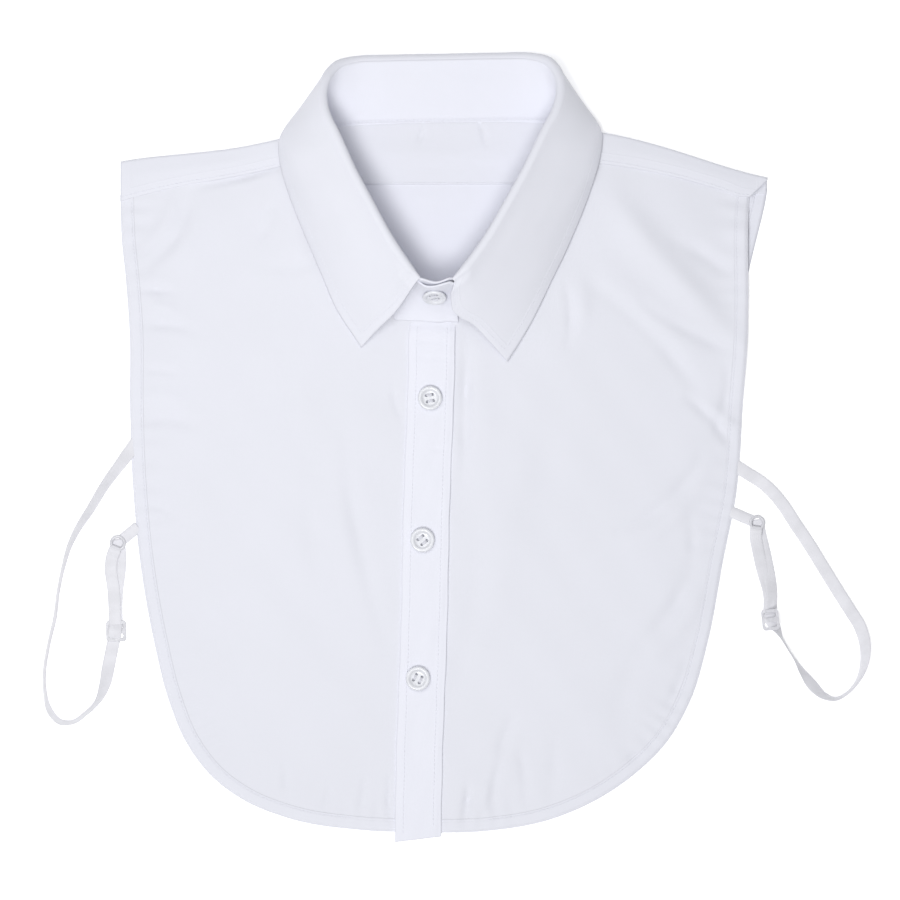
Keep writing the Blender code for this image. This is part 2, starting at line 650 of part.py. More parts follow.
def ribbon(name, bends, width, wall, count, look, parts):
    """A strap through the bends, which lies on its face or stands on its edge as they say."""
    rows = along_curve([[bend.x, bend.y, bend.lean] for bend in bends], even(count))
    lean = np.radians(np.clip(rows[:, 2], 0.0, 90.0))
    height = (width * np.sin(lean) + wall * np.cos(lean)) / 2
    centre = laid(with_height(rows, height)) * MM
    curve = bpy.data.curves.new(name, "CURVE")
    curve.dimensions = "3D"
    curve.twist_mode = "Z_UP"
    curve.extrude = (width - wall) / 2 * MM
    curve.bevel_depth = wall / 2 * MM
    curve.bevel_resolution = 1
    curve.use_fill_caps = True
    spline = curve.splines.new("POLY")
    spline.points.add(count - 1)
    spline.points.foreach_set("co", np.column_stack([centre, np.ones(count)]).ravel())
    spline.points.foreach_set("tilt", np.pi / 2 - lean)
    curve.materials.append(look)
    made = bpy.data.objects.new(name, curve)
    parts.objects.link(made)


def ring(name, spot, look, parts):
    """A ring of round wire, flat on the surface."""
    place = laid([spot.x, spot.y, RING_WIRE + 0.02]) * MM
    bpy.ops.mesh.primitive_torus_add(
        location=place,
        major_radius=RING_RADIUS * MM,
        minor_radius=RING_WIRE * MM,
        major_segments=20,
        minor_segments=6,
    )
    made = bpy.context.object
    made.name = name
    for owner in made.users_collection:
        owner.objects.unlink(made)
    parts.objects.link(made)
    made.data.materials.append(look)


def rounded_outline(curve, width, length, corner, middle_y):
    """A rectangle with round corners, added to a flat curve."""
    points = []
    for quarter in range(4):
        for step in range(3):
            angle = math.pi / 2 * (quarter + step / 2)
            centre_x = (width / 2 - corner) * (1 if quarter in (0, 3) else -1)
            centre_y = (length / 2 - corner) * (1 if quarter < 2 else -1)
            points.append((centre_x + corner * math.cos(angle), centre_y + corner * math.sin(angle)))
    spline = curve.splines.new("POLY")
    spline.points.add(len(points) - 1)
    for point, (x, y) in zip(spline.points, points):
        point.co = (x * MM, (y + middle_y) * MM, 0.0, 1.0)
    spline.use_cyclic_u = True


def slider(name, spot, look, parts):
    """A strap slider: a plate with two slots."""
    curve = bpy.data.curves.new(name, "CURVE")
    curve.dimensions = "2D"
    curve.fill_mode = "BOTH"
    curve.extrude = SLIDER_WALL / 2 * MM
    rounded_outline(curve, SLIDER_WIDTH, SLIDER_LENGTH, SLIDER_CORNER, 0.0)
    for side in (-1, 1):
        rounded_outline(curve, SLIDER_SLOT.x, SLIDER_SLOT.y, SLIDER_SLOT_CORNER, side * SLIDER_SLOT_OFFSET)
    curve.materials.append(look)
    made = bpy.data.objects.new(name, curve)
    made.location = laid([spot.x, spot.y, SLIDER_WALL / 2 + 0.02]) * MM
    made.rotation_euler.z = math.radians(spot.turn)
    parts.objects.link(made)


def side_straps(elastic, clear, parts):
    """The side straps. Each runs from the back to its slider, and doubled from there to the front's ring."""
    ribbon("left_strap", LEFT_STRAP, STRAP_WIDTH, STRAP_WALL, 44, elastic, parts)
    ribbon("right_strap", RIGHT_STRAP, STRAP_WIDTH, STRAP_WALL, 44, elastic, parts)
    ribbon("left_strap_return", LEFT_RETURN, RETURN_WIDTH, RETURN_WALL, 8, elastic, parts)
    ribbon("right_strap_return", RIGHT_RETURN, RETURN_WIDTH, RETURN_WALL, 8, elastic, parts)
    ribbon("left_tab", LEFT_TAB, TAB_WIDTH, RETURN_WALL, 3, elastic, parts)
    ribbon("right_tab", RIGHT_TAB, TAB_WIDTH, RETURN_WALL, 3, elastic, parts)
    ring("left_ring", LEFT_RING, clear, parts)
    ring("right_ring", RIGHT_RING, clear, parts)
    slider("left_slider", LEFT_SLIDER, clear, parts)
    slider("right_slider", RIGHT_SLIDER, clear, parts)


def main():
    for old in list(bpy.data.objects):
        bpy.data.objects.remove(old)
    parts = collection("detachable_shirt_collar")
    cutters = collection("cutters")
    poplin = material("white_poplin", WHITE_CLOTH, 0.85)
    elastic = material("white_elastic", WHITE_ELASTIC, 0.7)
    clear = material("clear_plastic", CLEAR_WHITE, 0.2)
    back_panel(poplin, parts)
    yoke(poplin, parts)
    front("left_front", -1.0, LEFT_EDGE, poplin, parts)
    front("right_front", 1.0, RIGHT_EDGE, poplin, parts)
    placket(poplin, parts)
    collar_stand(poplin, parts)
    collar_leaf(poplin, parts)
    buttons(clear, parts, cutters)
    side_straps(elastic, clear, parts)


if __name__ == "__main__":
    main()
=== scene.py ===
"""A detachable shirt collar of white poplin with a bib front and back, laid flat on its back on a pale table.

Tables are in millimetres and meshes in metres. +X is to the viewer's right, +Y towards the top of the collar
and +Z up from the table. "left" and "right" are the viewer's.
"""

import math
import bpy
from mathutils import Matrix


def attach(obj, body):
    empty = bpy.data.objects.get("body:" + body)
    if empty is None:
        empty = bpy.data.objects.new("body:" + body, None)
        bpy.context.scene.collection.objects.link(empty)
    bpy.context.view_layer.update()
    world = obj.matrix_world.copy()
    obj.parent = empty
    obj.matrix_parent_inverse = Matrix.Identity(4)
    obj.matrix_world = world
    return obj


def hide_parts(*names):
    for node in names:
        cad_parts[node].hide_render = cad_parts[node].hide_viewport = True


bl_info = {
    "name": "Detachable shirt collar",
    "version": (1, 0, 0),
    "blender": (4, 5, 0),
    "location": "3D View > Sidebar > Shirt collar",
    "description": "Sews a poplin half shirt with a buttoned collar and elastic side straps",
    "category": "Object",
}

from collections import namedtuple

import bmesh
import bpy
import numpy as np
from mathutils import Vector

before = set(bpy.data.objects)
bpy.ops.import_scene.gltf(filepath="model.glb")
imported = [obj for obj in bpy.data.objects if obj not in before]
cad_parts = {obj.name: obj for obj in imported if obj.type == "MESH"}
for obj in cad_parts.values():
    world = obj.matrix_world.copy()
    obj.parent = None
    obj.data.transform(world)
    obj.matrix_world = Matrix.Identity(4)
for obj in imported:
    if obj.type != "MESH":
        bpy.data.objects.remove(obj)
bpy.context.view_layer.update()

MM = 0.001

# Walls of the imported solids, whose middles the cloth follows
PANEL_WALL = 1.0
COLLAR_WALL = 1.2
SEAM_GAP = 0.3
FRONT_UNDERSIDE = 1.4
YOKE_OVER_LEAF = 1.6
YOKE_LIFT_FROM, YOKE_LIFT_TO = 137.5, 153.0
YOKE_LIFT_INSIDE, YOKE_LIFT_OUTSIDE = 88.0, 112.0
NECK_LIFT = 3.1
NECK_LIFT_REACH = 26.0
HEM_ROLL = 1.15
ARMHOLE_LIFT = 2.4

# Outline of the bib, down from each armhole's tip to the hem beside the placket
LEFT_EDGE = (
    (-165.6, 128.0),
    (-164.1, 102.0),
    (-161.4, 81.6),
    (-158.4, 50.4),
    (-157.5, 19.0),
    (-153.9, -33.0),
    (-149.9, -64.0),
    (-141.5, -105.4),
    (-132.8, -136.3),
    (-123.8, -156.9),
    (-107.2, -177.2),
    (-92.2, -187.2),
    (-65.4, -196.8),
    (-34.0, -200.8),
    (-2.0, -201.6),
)
RIGHT_EDGE = (
    (161.6, 137.0),
    (161.0, 121.9),
    (162.2, 80.2),
    (162.3, 59.4),
    (161.1, 28.2),
    (158.5, -23.9),
    (153.1, -55.3),
    (146.5, -97.1),
    (138.2, -128.6),
    (127.2, -149.7),
    (106.5, -171.0),
    (90.7, -181.9),
    (66.1, -193.0),
    (34.0, -199.6),
    (-2.0, -201.6),
)
BACK_INSET = 3.0
BACK_SHOWS = 9.0
BACK_SHOWS_FROM, BACK_SHOWS_TO = 70.0, 141.0

# Shoulders, left and right, where the yoke folds over: the tip of the fold, and the front seam below it
Shoulder = namedtuple("Shoulder", "tip_x tip_y seam_neck_y seam_middle_y seam_tip_x seam_tip_y")
SHOULDERS = (
    Shoulder(165.8, 143.0, 149.0, 134.2, 165.2, 122.2),
    Shoulder(170.3, 144.4, 147.0, 139.7, 161.5, 133.7),
)
NECK_POINT = (72.0, 163.6)
SEAM_MIDDLE_X = 128.0
YOKE_SEAM = 135.5
YOKE_LAP = 3.0
YOKE_NECK_SEAM = -1.0
NECK_SEAM = 0.0
FRONT_NECK = slice(2, 36)
STRIP_TIP_FROM = 140.0
STRIP_NECK_IN = 2.6
STRIP_NECK_TO = 100.0

# Collar, from the centre of the back to the front: core inside the roll, lower edge of the stand, middle and
# outer edge of the leaf, and how far the stand hollows inwards. The last two rows carry the stand alone.
Section = namedtuple("Section", "core neck middle edge bow")
COLLAR = (
    Section((0.0, 200.6, 6.0), (0.0, 167.5, 2.3), (0.0, 182.0, 0.6), (0.0, 157.5, 0.6), 0.0),
    Section((28.0, 200.6, 6.4), (27.0, 167.2, 2.3), (27.5, 182.0, 0.6), (26.0, 157.5, 0.6), 0.0),
    Section((46.0, 200.0, 8.6), (46.0, 166.6, 2.3), (47.0, 183.0, 0.8), (44.0, 157.6, 0.6), 0.0),
    Section((55.5, 196.8, 13.5), (57.0, 166.0, 2.4), (61.8, 188.8, 4.0), (58.0, 157.8, 0.6), 0.5),
    Section((60.2, 190.0, 18.5), (64.5, 165.2, 2.8), (67.8, 182.8, 7.0), (69.0, 158.6, 0.6), 1.0),
    Section((61.6, 182.0, 22.0), (69.5, 162.8, 4.2), (72.8, 176.2, 9.0), (77.8, 164.4, 1.2), 1.5),
    Section((60.0, 173.0, 25.0), (70.6, 158.0, 6.0), (74.4, 168.4, 13.0), (82.6, 161.6, 6.8), 2.0),
    Section((54.2, 161.0, 27.0), (67.7, 150.0, 6.3), (70.5, 157.6, 18.5), (83.4, 153.5, 3.0), 2.4),
    Section((45.8, 143.0, 28.0), (59.5, 135.0, 5.4), (63.5, 138.5, 19.0), (79.2, 135.0, 3.0), 2.8),
    Section((37.2, 127.0, 28.4), (49.5, 119.0, 5.2), (54.6, 119.5, 18.4), (70.8, 112.5, 3.0), 3.0),
    Section((26.2, 107.5, 28.6), (38.0, 98.5, 5.2), (42.8, 96.5, 18.0), (60.4, 89.0, 3.0), 3.2),
    Section((15.8, 92.4, 28.8), (26.5, 80.5, 5.2), (27.8, 77.0, 17.5), (49.0, 64.0, 3.0), 3.3),
    Section((9.6, 84.6, 28.8), (14.5, 68.6, 5.3), (17.4, 67.8, 15.8), (38.9, 47.4, 3.0), 3.4),
    Section((0.0, 80.4, 28.4), (0.0, 64.8, 5.3), (0.0, 60.0, 16.0), (10.0, 40.0, 3.0), 3.4),
    Section((-10.0, 82.6, 28.4), (-12.0, 66.6, 5.3), (-12.0, 61.0, 16.0), (-20.0, 42.0, 3.0), 3.4),
)
LEAF_SECTIONS = 13
SHOULDER_SECTION = 5
ROLL_RADIUS = 2.2
STAND_LAP = 1.6
LAP_NEAR, LAP_FAR = 4.0, 11.5
LAP_RISE = 2.6
LAP_DIP, LAP_DIP_X, LAP_DIP_REACH = 3.2, -13.0, 10.0
LAP_UPPER_RISE, LAP_RISE_ENDS = (-7.0, 4.0), (7.0, 11.0)
STAND_CORNER = 4.0
STAND_CORNER_DROP = (0.02, 0.02)
STAND_SPREAD, STAND_SPREAD_Y = (-28.0, -20.0), 64.3
ROLL_END = 10.0
STAND_SINK = 0.5
# Front edges of the leaf in plan, from the roll down to its points
LEFT_LEAF_FRONT = ((-11.6, 82.0), (-15.2, 76.2), (-21.9, 67.0), (-28.7, 60.2), (-38.1, 49.6))
RIGHT_LEAF_FRONT = ((8.0, 82.0), (8.0, 75.0), (9.4, 69.2), (13.0, 66.4), (18.6, 63.6), (27.7, 55.2), (38.0, 44.6))
LEAF_FRONT_FADE = 34.0

# Creases: ridges, or troughs where the height is negative, along a line that bends sideways in its middle
Crease = namedtuple("Crease", "from_x from_y to_x to_y bend width height")
FRONT_FOLDS = (
    Crease(91.0, 120.0, 156.0, 62.0, 0.0, 10.0, 1.7),
    Crease(90.0, 90.0, 152.0, 40.0, 0.0, 9.0, 1.3),
    Crease(146.0, 12.0, 104.0, -40.0, 0.0, 10.0, 1.3),
    Crease(132.0, -62.0, 104.0, -120.0, 0.0, 13.0, 1.1),
    Crease(-124.0, 118.0, -148.0, 78.0, 0.0, 10.0, 1.4),
    Crease(-64.0, 60.0, -80.0, -40.0, 0.0, 14.0, 1.0),
    Crease(48.0, 20.0, 36.0, -80.0, 0.0, 12.0, 1.0),
)
FRONT_CREASES = (
    # Right front: folds that run to the armhole, pleats over the hem and the trough beside the placket
    Crease(89.0, 130.0, 158.9, 54.0, 0.0, 7.0, 1.1),
    Crease(17.0, 72.0, 16.4, 6.0, 0.6, 3.4, -0.8),
    # Left front: the dip under the yoke's seam
    Crease(-64.0, 151.8, -114.0, 136.2, 0.0, 2.2, -1.0),
    Crease(-98.0, 141.0, -128.0, 132.0, 0.0, 2.2, -0.4),
    Crease(84.0, 84.0, 138.7, 30.0, 4.0, 4.5, -0.9),
    Crease(108.8, 76.0, 156.3, 54.0, -2.0, 3.5, -0.8),
    Crease(124.0, 109.0, 156.0, 90.0, 2.0, 4.0, -0.8),
    Crease(133.0, 28.0, 154.5, 5.5, 2.0, 3.2, -1.2),
    Crease(153.0, 43.6, 148.5, 14.0, 1.5, 3.0, -0.9),
    Crease(141.0, 24.0, 157.0, 14.0, 1.0, 3.0, 0.7),
    Crease(140.0, -3.6, 99.0, -41.0, 5.0, 3.8, -0.9),
    Crease(142.0, -12.0, 106.0, -48.0, 5.0, 4.5, 0.6),
    Crease(135.4, -34.0, 136.5, -56.0, 1.0, 3.0, -0.5),
    Crease(137.2, -61.0, 111.3, -100.7, 3.0, 4.6, -1.1),
    Crease(144.0, -66.0, 120.0, -104.0, 3.0, 4.6, 0.6),
    Crease(111.4, -103.0, 102.3, -150.0, -3.0, 7.0, -0.6),
    Crease(135.0, -110.0, 126.8, -131.5, 1.0, 3.0, -0.7),
    Crease(103.7, -163.0, 114.0, -156.3, 0.5, 2.0, -0.6),
    Crease(45.9, -141.6, 36.7, -185.0, -2.0, 3.4, -1.0),
    Crease(38.5, -160.0, 30.0, -190.0, 1.0, 3.0, 0.6),
    Crease(24.0, -176.0, 23.3, -193.0, 0.5, 2.4, -1.0),
    Crease(50.6, -158.0, 54.0, -184.0, 1.0, 3.0, -0.6),
    Crease(68.5, -150.0, 66.8, -184.0, 1.0, 4.0, -0.5),
    Crease(66.9, 86.0, 69.3, 54.0, 2.0, 2.5, -0.6),
    Crease(73.0, 92.0, 76.0, 60.0, 2.0, 4.0, 0.5),
    Crease(14.6, 58.0, 17.0, -18.0, 1.5, 3.0, -0.8),
    Crease(24.5, 60.0, 37.0, -60.0, -4.0, 9.0, 0.7),
    Crease(26.0, -50.0, 14.6, -132.0, 3.0, 6.0, -0.5),
    Crease(62.0, 20.0, 70.0, -60.0, -6.0, 11.0, -0.5),
    # Left front: short creases beside the armhole's hem, long soft ones down to the hem
    Crease(-129.5, 129.0, -149.0, 90.0, 5.0, 3.5, -0.9),
    Crease(-138.0, 126.0, -157.0, 96.0, 4.0, 3.2, 0.6),
    Crease(-152.0, 76.5, -135.8, 75.8, 0.5, 2.2, -0.8),
    Crease(-153.0, 69.0, -134.0, 66.0, 1.0, 3.0, 0.5),
    Crease(-152.0, 58.5, -124.8, 56.0, 1.5, 3.0, -0.8),
    Crease(-150.0, 35.0, -135.0, 34.0, 0.5, 2.2, -0.6),
    Crease(-150.0, 22.0, -132.0, 20.0, 1.0, 4.0, 0.5),
    Crease(-149.0, 10.0, -124.0, 8.0, 1.0, 4.0, -0.8),
    Crease(-148.0, -36.0, -132.0, -40.0, 1.0, 2.6, -0.4),
    Crease(-72.0, 126.0, -57.0, 87.0, -3.0, 5.0, -0.7),
    Crease(-86.7, 125.0, -91.4, 106.0, 1.0, 3.0, -0.5),
    Crease(-91.0, 91.0, -60.0, 94.0, -2.0, 4.0, -0.5),
    Crease(-77.7, 48.0, -75.0, 5.0, 2.0, 5.0, -0.5),
    Crease(-45.2, 2.0, -21.0, -102.0, -3.0, 4.6, -0.7),
    Crease(-52.0, -2.0, -30.0, -96.0, -3.0, 7.0, 0.5),
    Crease(-63.5, -30.0, -58.6, -75.0, 1.0, 5.0, -0.5),
    Crease(-20.6, 33.4, -14.8, 11.0, -1.5, 2.4, -0.6),
    Crease(-14.6, 60.0, -14.2, 43.0, 0.0, 2.2, -0.8),
    Crease(-71.6, -168.0, -70.8, -183.0, 0.5, 2.0, -0.6),
    Crease(-48.0, -178.0, -50.0, -191.0, 0.5, 2.0, -0.5),
    Crease(-29.6, -175.0, -32.0, -190.0, 0.5, 2.4, -0.6),
    Crease(-17.0, -174.0, -17.4, -191.0, 0.5, 2.0, -0.7),
    Crease(-100.0, 70.0, -112.0, -20.0, 7.0, 12.0, -0.5),
    Crease(-110.0, -60.0, -70.0, -120.0, 6.0, 12.0, 0.5),
)
BACK_CREASES = (
    Crease(-120.0, 100.0, -60.0, 20.0, 6.0, 9.0, 0.12),
    Crease(110.0, 80.0, 40.0, -10.0, -6.0, 9.0, 0.12),
    Crease(-100.0, -60.0, -20.0, -120.0, 5.0, 10.0, 0.12),
    Crease(90.0, -70.0, 30.0, -140.0, -5.0, 9.0, 0.12),
    Crease(-4.0, 128.0, 6.0, 92.0, 2.0, 4.0, 0.10),
)
YOKE_CREASES = (
    Crease(-9.0, 167.0, -12.0, 157.0, 0.5, 1.1, -0.9),
    Crease(20.0, 167.0, 23.5, 156.0, 0.5, 1.1, -1.1),
    Crease(-40.0, 144.5, 44.0, 144.5, 0.0, 2.6, -0.22),
    Crease(-46.0, 158.0, 30.0, 150.0, -3.0, 6.0, 0.30),
    Crease(96.0, 152.0, 158.0, 141.0, 0.0, 3.0, 0.25),
    Crease(-100.0, 150.0, -156.0, 136.0, 0.0, 3.0, 0.25),
)
LEAF_CREASES = (
    Crease(0.16, 0.30, 0.22, 0.86, 0.02, 0.035, 0.7),
    Crease(0.30, 0.25, 0.34, 0.80, -0.01, 0.03, 0.5),
    Crease(0.70, 0.25, 0.66, 0.85, 0.01, 0.03, 0.6),
    Crease(0.86, 0.30, 0.80, 0.90, -0.02, 0.035, 0.7),
    Crease(0.50, 0.30, 0.50, 0.90, 0.02, 0.05, 0.3),
)

# Placket and buttons
PLACKET_WIDTH = 24.0
PLACKET_MIDDLE = -1.5
PLACKET_TOP = 65.6
PLACKET_FOOT = (-206.6, -203.0)
STAND_FOOT_TURN = 0.8
BUTTON_PLACES = ((-1.6, 24.5, 12.0), (-3.4, -49.3, 40.0), (-3.7, -121.2, 65.0))
COLLAR_BUTTON_X = -0.9
COLLAR_BUTTON_SHARE = 0.66
COLLAR_BUTTON_TURN = 20.0
BUTTON_SEAT = 0.35
BUTTON_UNDERSIDE = 0.2

# Elastic side straps. lean is 0 where the strap lies on its face and 90 where it stands on its edge, and rise is
# how far it is lifted over what it crosses: the back's edge under the hem, and the middle bar of the slider
Bend = namedtuple("Bend", "x y lean rise", defaults=(0.0,))
LEFT_STRAP = (
    Bend(-150.8, 1.2, 0.0, 0.72),
    Bend(-156.3, -7.0, 6.0, 0.66),
    Bend(-162.0, -15.2, 24.0, 0.2),
    Bend(-169.1, -25.5, 38.0),
    Bend(-176.2, -38.2, 44.0),
    Bend(-182.2, -48.1, 54.0),
    Bend(-186.2, -56.7, 62.0),
    Bend(-189.6, -69.5, 70.0),
    Bend(-191.8, -82.2, 73.0),
    Bend(-193.0, -94.9, 71.0),
    Bend(-195.8, -108.8, 73.0),
    Bend(-197.7, -124.7, 72.0),
    Bend(-196.9, -135.1, 70.0),
    Bend(-193.9, -144.3, 56.0),
    Bend(-188.8, -149.1, 58.0),
    Bend(-182.5, -149.1, 68.0),
    Bend(-175.2, -144.1, 71.0),
    Bend(-170.1, -138.7, 66.0),
    Bend(-166.2, -129.1, 32.0),
    Bend(-164.8, -120.6, 8.0),
    Bend(-163.6, -113.4, 0.0),
    Bend(-162.7, -108.4, 0.0),
    Bend(-162.2, -105.6, 0.0, 0.1),
    Bend(-161.9, -103.5, 0.0, 1.1),
    Bend(-161.7, -101.2, 0.0, 1.75),
    Bend(-161.5, -98.9, 0.0, 1.1),
    Bend(-161.4, -96.8, 0.0, 0.1),
)
RIGHT_STRAP = (
    Bend(153.6, -3.8, 0.0, 0.72),
    Bend(160.0, -7.2, 2.0, 0.66),
    Bend(165.0, -10.2, 6.0, 0.2),
    Bend(169.3, -12.6, 10.0),
    Bend(175.8, -17.4, 12.0),
    Bend(182.4, -24.5, 10.0),
    Bend(190.0, -35.2, 8.0),
    Bend(197.6, -45.9, 8.0),
    Bend(205.2, -57.5, 10.0),
    Bend(212.8, -69.1, 12.0),
    Bend(219.4, -78.9, 12.0),
    Bend(225.2, -87.9, 16.0),
    Bend(227.9, -96.4, 30.0),
    Bend(228.1, -105.1, 48.0),
    Bend(226.3, -112.4, 66.0),
    Bend(223.3, -118.0, 78.0),
    Bend(218.9, -122.8, 81.0),
    Bend(213.5, -125.6, 76.0),
    Bend(207.1, -124.0, 54.0),
    Bend(201.2, -118.8, 32.0),
    Bend(195.9, -112.2, 56.0),
    Bend(191.4, -105.3, 80.0),
    Bend(187.4, -99.4, 82.0),
    Bend(184.5, -94.6, 76.0),
    Bend(182.2, -90.6, 50.0),
    Bend(180.4, -88.0, 24.0, 0.6),
    Bend(179.0, -85.7, 6.0, 1.6),
    Bend(178.3, -83.4, 0.0, 1.1),
    Bend(178.1, -81.2, 0.0, 0.1),
)
# The doubled returns: a lower and an upper layer, which fan out towards the ring
LEFT_RETURNS = (
    (
        Bend(-161.0, -99.0, 0.0),
        Bend(-161.4, -82.0, 0.0),
        Bend(-160.2, -68.0, 0.0),
        Bend(-160.2, -61.6, 0.0),
        Bend(-161.6, -53.4, 0.0),
    ),
    (
        Bend(-161.8, -98.0, 0.0),
        Bend(-163.2, -80.0, 0.0),
        Bend(-164.9, -68.0, 0.0),
        Bend(-164.4, -62.8, 0.0, 0.3),
        Bend(-163.2, -59.4, 0.0, 1.4),
        Bend(-162.4, -57.2, 0.0, 0.5),
    ),
)
RIGHT_RETURNS = (
    (
        Bend(178.6, -83.0, 20.0),
        Bend(179.0, -72.8, 24.0),
        Bend(176.8, -59.8, 12.0),
        Bend(174.0, -48.5, 6.0),
        Bend(171.4, -38.6, 0.0),
        Bend(170.6, -33.6, 0.0),
    ),
    (
        Bend(177.8, -82.0, 10.0),
        Bend(177.4, -72.8, 12.0),
        Bend(173.6, -59.8, 8.0),
        Bend(170.8, -48.5, 4.0),
        Bend(169.6, -42.6, 0.0, 0.3),
        Bend(169.6, -39.4, 0.0, 1.4),
        Bend(169.8, -37.2, 0.0, 0.5),
    ),
)
LEFT_TAB = (Bend(-151.4, -46.6, 0.0), Bend(-154.5, -49.4, 0.0), Bend(-159.6, -53.8, 0.0))
RIGHT_TAB = (Bend(155.0, -29.6, 0.0), Bend(159.0, -31.1, 0.0), Bend(167.8, -34.6, 0.0))
LEFT_RING = (-161.6, -55.5)
RING_LIFT = 0.75
RIGHT_RING = (170.2, -35.5)
# Sliders: middle, turn in plan and tip to the side
LEFT_SLIDER = (-161.2, -101.2, 3.0, 0.0)
RIGHT_SLIDER = (178.4, -85.5, 8.0, 34.0)
SLIDER_CORNER = 1.6
SLIDER_SLOT = (7.4, 2.6)
SLIDER_SLOT_OFFSET = 2.5

# How the garment lies: the collar turned a little anticlockwise against the bib, and all a little to the left
LAY_SLOPE = 0.048
LAY_FROM, LAY_TO = 90.0, 165.0
LAY_INSIDE, LAY_OUTSIDE = 88.0, 166.0
LAY_LEFT = 1.6

# Where the camera aims, in the plane of the bib, and how it is rolled
AIM = (7.96, -2.17)
ROLL = 1.65


# Arithmetic of lines and surfaces


def smoothstep(value, start, end):
    """0 before start, 1 after end and 3t^2 - 2t^3 between."""
    share = np.clip((value - start) / (end - start), 0.0, 1.0)
    return share * share * (3.0 - 2.0 * share)


def unit(vectors):
    """The vectors at length 1."""
    return vectors / np.linalg.norm(vectors, axis=-1, keepdims=True)


def lengths_along(points):
    """The length of the line up to each of its points."""
    steps = np.linalg.norm(np.diff(points, axis=0), axis=-1)
    return np.concatenate([np.zeros((1, *steps.shape[1:])), np.cumsum(steps, axis=0)])


def share_of(points):
    """Each point's share of the length along its line."""
    lengths = lengths_along(points)
    return lengths / lengths[-1]


def even(count):
    """Shares from 0 to 1."""
    return np.linspace(0.0, 1.0, count)


def along_curve(rows, at):
    """The smooth curve through the rows at shares of its length: cubic spans, with slopes from both sides."""
    rows = np.array(rows, float)
    knots = share_of(rows)
    slopes = np.gradient(rows, knots, axis=0)
    at = np.asarray(at)
    span = np.clip(np.searchsorted(knots, at) - 1, 0, len(rows) - 2)
    length = (knots[span + 1] - knots[span])[:, None]
    t = (at - knots[span])[:, None] / length
    return (
        (2 * t**3 - 3 * t**2 + 1) * rows[span]
        + (t**3 - 2 * t**2 + t) * length * slopes[span]
        + (3 * t**2 - 2 * t**3) * rows[span + 1]
        + (t**3 - t**2) * length * slopes[span + 1]
    )


def read_line(points, at):
    """The points of a line of straight pieces at shares of its length."""
    known = share_of(points)
    return np.stack([np.interp(at, known, points[:, axis]) for axis in range(points.shape[1])], axis=1)


def patch(top, bottom, first, last, u, v):
    """The surface between four edges: the sum of the two ruled surfaces less the bilinear one (Coons)."""
    u = u[None, :, None]
    v = v[:, None, None]
    across = (1 - v) * top[None] + v * bottom[None]
    down = (1 - u) * first[:, None] + u * last[:, None]
    corners = (1 - v) * ((1 - u) * top[0] + u * top[-1]) + v * ((1 - u) * bottom[0] + u * bottom[-1])
    return across + down - corners


def nearest_on(x, y, line):
    """For each place, the distance to a line in plan and the length along the line to its nearest point."""
    fine = read_line(line, even(2400))
    lengths = lengths_along(fine)
    flat_x, flat_y = np.ravel(x), np.ravel(y)
    away = np.empty(flat_x.size)
    along = np.empty(flat_x.size)
    for start in range(0, flat_x.size, 4000):
        part = slice(start, start + 4000)
        gaps = np.hypot(flat_x[part, None] - fine[:, 0], flat_y[part, None] - fine[:, 1])
        best = gaps.argmin(axis=1)
        away[part] = gaps[np.arange(best.size), best]
        along[part] = lengths[best]
    return away.reshape(np.shape(x)), along.reshape(np.shape(x))


def laid(points):
    """The points as the garment lies, with the collar turned a little against the bib, and all to the left."""
    points = np.array(points, float)
    x, y = points[..., 0].copy(), points[..., 1]
    near = 1.0 - smoothstep(np.abs(x), LAY_INSIDE, LAY_OUTSIDE)
    points[..., 1] = y + LAY_SLOPE * x * near * smoothstep(y, LAY_FROM, LAY_TO)
    points[..., 0] = x - LAY_LEFT
    return points


def crease_height(x, y, creases):
    """The sum of the creases. Each is height * exp(-(d/width)^2) * sin, d from its bent line, low at its ends."""
    total = np.zeros(np.shape(x))
    for crease in creases:
        run_x, run_y = crease.to_x - crease.from_x, crease.to_y - crease.from_y
        length = math.hypot(run_x, run_y)
        along = ((x - crease.from_x) * run_x + (y - crease.from_y) * run_y) / length**2
        across = ((y - crease.from_y) * run_x - (x - crease.from_x) * run_y) / length
        t = np.clip(along, 0.0, 1.0)
        bent = across - crease.bend * 4 * t * (1 - t)
        away = np.hypot(bent, (along - t) * length)
        uneven = 1.0 + 0.22 * np.sin(7.0 * t + crease.from_x) + 0.12 * np.sin(17.0 * t + crease.from_y)
        total += crease.height * uneven * np.exp(-((away / crease.width) ** 2)) * np.sin(math.pi * (0.12 + 0.76 * t))
    return total


def fold_height(x, y):
    """The large folds of the fronts, as the solids have them."""
    total = np.zeros(np.shape(x))
    for fold in FRONT_FOLDS:
        start = np.array([fold.from_x, fold.from_y])
        run = np.array([fold.to_x, fold.to_y]) - start
        offset = np.stack([x, y], axis=-1) - start
        share = np.clip(offset @ run / (run @ run), 0.0, 1.0)
        away = np.linalg.norm(offset - share[..., None] * run, axis=-1)
        total += fold.height * np.exp(-((away / fold.width) ** 2)) * np.sin(math.pi * (0.12 + 0.76 * share))
    return total


def ripple(x, y, size, seed):
    """Slow unevenness of about -1 to 1: five sines of different directions and lengths, multiplied in pairs."""
    angles = np.arange(5) * 2.39996 + seed
    waves = [
        np.sin((x * math.cos(a) + y * math.sin(a)) * (2 * math.pi / (size * (0.8 + 0.17 * i))) + 1.7 * i + seed)
        for i, a in enumerate(angles)
    ]
    return (waves[0] * waves[1] + waves[2] * waves[3] + 0.5 * waves[4]) / 1.6


# Shapes of the garment


def neckline(count):
    """Points in plan along the right half of the front neckline, from the centre front up to the shoulder."""
    sections = COLLAR[LEAF_SECTIONS : SHOULDER_SECTION : -1]
    return along_curve([section.neck[:2] for section in sections], even(count))


